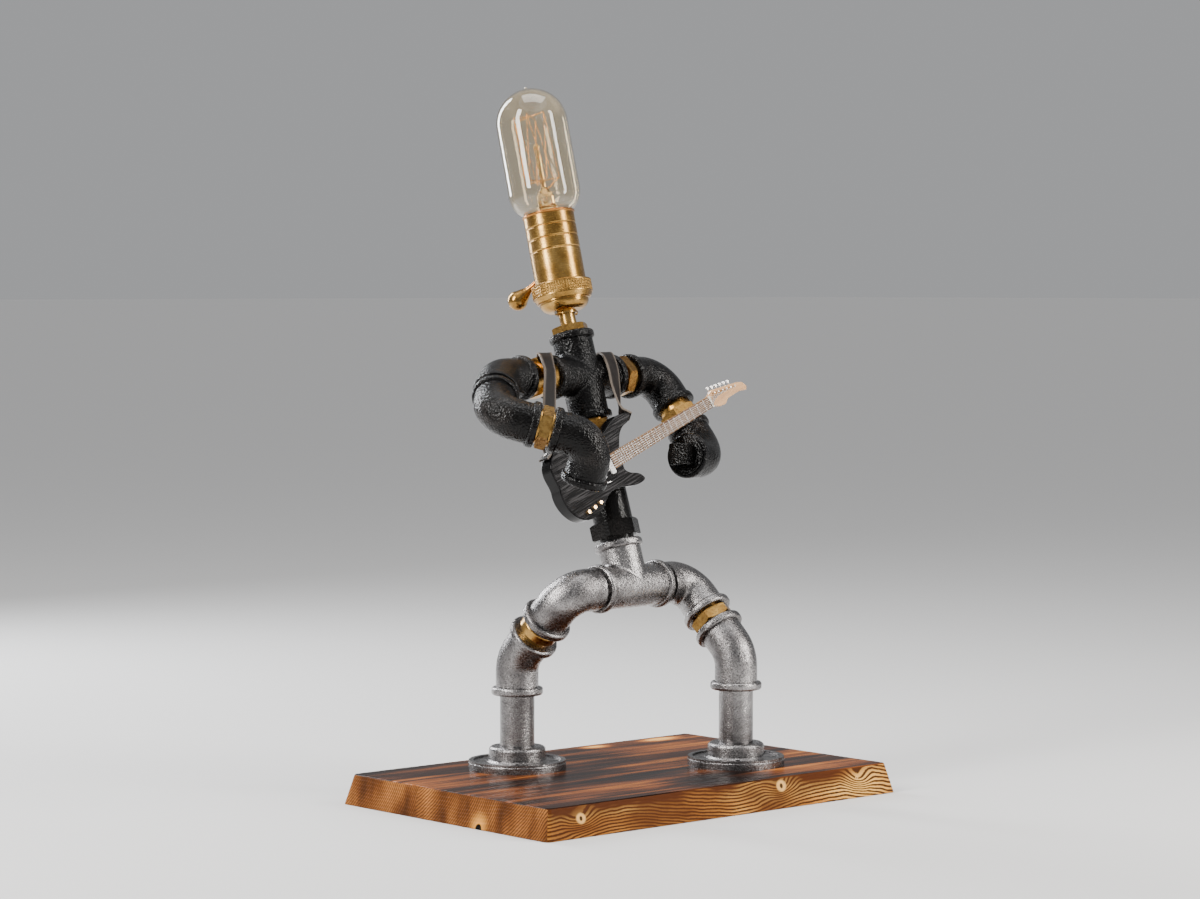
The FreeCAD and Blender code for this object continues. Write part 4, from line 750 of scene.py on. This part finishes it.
give(foot_glass(), "bulb_stem")
# Painted reflection: the filament and its wires are coloured like brass for the brass reflected at
# the stem's base.
give(plated("filament_painted_brass_reflection", (0.90, 0.52, 0.20, 1), (0.42, 0.22, 0.08, 1), 0.18, 2.0), "bulb_filament")

# Lead inside the pipes: two lengths joined at the tee.
# Round flexible cord in a dark braided sheath, lying loose in the pipes.


def braided():
    material, add, dress = finish("lead_braid")
    x, y, z = add("SeparateXYZ", Vector=own_place(add)).outputs
    level = sums(add, "ADD", x, y)
    one, two = (wave(add, "SINE", sums(add, "MULTIPLY", sums(add, kind, z, level), 4200.0))
                for kind in ("ADD", "SUBTRACT"))
    weave = sums(add, "MULTIPLY", one, two)
    colour = ramp(add, weave, [(0.0, (0.012, 0.010, 0.009)), (0.8, (0.055, 0.048, 0.043))])
    dress(Base_Color=colour, Roughness=ramp(add, weave, [(0.0, 0.90), (1.0, 0.70)]))
    dress(Normal=raised(add, weave, 0.00020, 0.8))
    return material


give(braided(), "lead_lower", "lead_upper")

# Studio: a plain pale floor, four soft lights, a low even sky and the camera.
# The camera stands at the photograph's angle, and the lights are placed from its view.


def floor():
    bpy.ops.object.select_all(action="DESELECT")
    bpy.ops.mesh.primitive_plane_add(size=120.0, location=(0, 0, -0.0002))
    ground = bpy.context.object
    ground.name = "studio_floor"
    material, add, dress = finish("pale_floor")
    dress(Base_Color=(0.66, 0.655, 0.65, 1), Roughness=0.85)
    ground.data.materials.append(material)


def softbox(name, place, width, height, power, warmth=(1, 1, 1)):
    """A rectangle of light aimed at the figure's middle."""
    light = bpy.data.lights.new(name, "AREA")
    light.shape = "RECTANGLE"
    light.size, light.size_y = width, height
    light.energy = power
    light.color = warmth
    lamp = bpy.data.objects.new(name, light)
    lamp.location = place
    lamp.rotation_mode = "QUATERNION"
    lamp.rotation_quaternion = (middle - place).to_track_quat("-Z", "Y")
    bpy.context.scene.collection.objects.link(lamp)


floor()
away, right = Vector((0.664, 0.748, 0.0)), Vector((0.748, -0.664, 0.0))
middle = Vector((0, 0, 0.22))


def placed_at(side, forward, up):
    """A place to the right of the figure's middle, behind it and above it, as the camera sees."""
    return middle + right * side + away * forward + Vector((0, 0, up))


softbox("key_left", placed_at(-0.95, -0.75, 0.70), 0.28, 0.9, 27.0, (1.0, 0.98, 0.95))
softbox("strip_right", placed_at(0.85, -0.25, 0.35), 0.16, 0.9, 12.0, (1.0, 0.97, 0.93))
softbox("strip_back_left", placed_at(-0.75, 0.75, 0.45), 0.2, 0.9, 16.0, (0.95, 0.97, 1.0))
softbox("top", placed_at(0.0, 0.1, 1.25), 0.9, 0.7, 9.0)
sky = bpy.data.objects.new("even_sky", bpy.data.lights.new("even_sky", "SUN"))
sky.data.energy = 0.74
sky.data.angle = math.radians(70)
sky.rotation_euler = (math.radians(14), math.radians(-10), 0)
bpy.context.scene.collection.objects.link(sky)

world = bpy.data.worlds.new("studio_air")
bpy.context.scene.world = world
world.use_nodes = True
background = world.node_tree.nodes["Background"].inputs
background["Color"].default_value = (0.80, 0.81, 0.83, 1)
background["Strength"].default_value = 0.46

camera = bpy.data.objects.new("camera", bpy.data.cameras.new("camera"))
bpy.context.scene.collection.objects.link(camera)
camera.data.lens = 99.9
camera.data.sensor_width = 36.0
camera.data.clip_start = 0.05
camera.location = (-1.337, -1.4866, 0.3095)
azimuth, pitch = math.radians(-41.58), math.radians(2.83)
look = Vector((-math.sin(azimuth) * math.cos(pitch), math.cos(azimuth) * math.cos(pitch),
               -math.sin(pitch)))
camera.rotation_mode = "QUATERNION"
camera.rotation_quaternion = look.to_track_quat("-Z", "Y")
bpy.context.scene.camera = camera
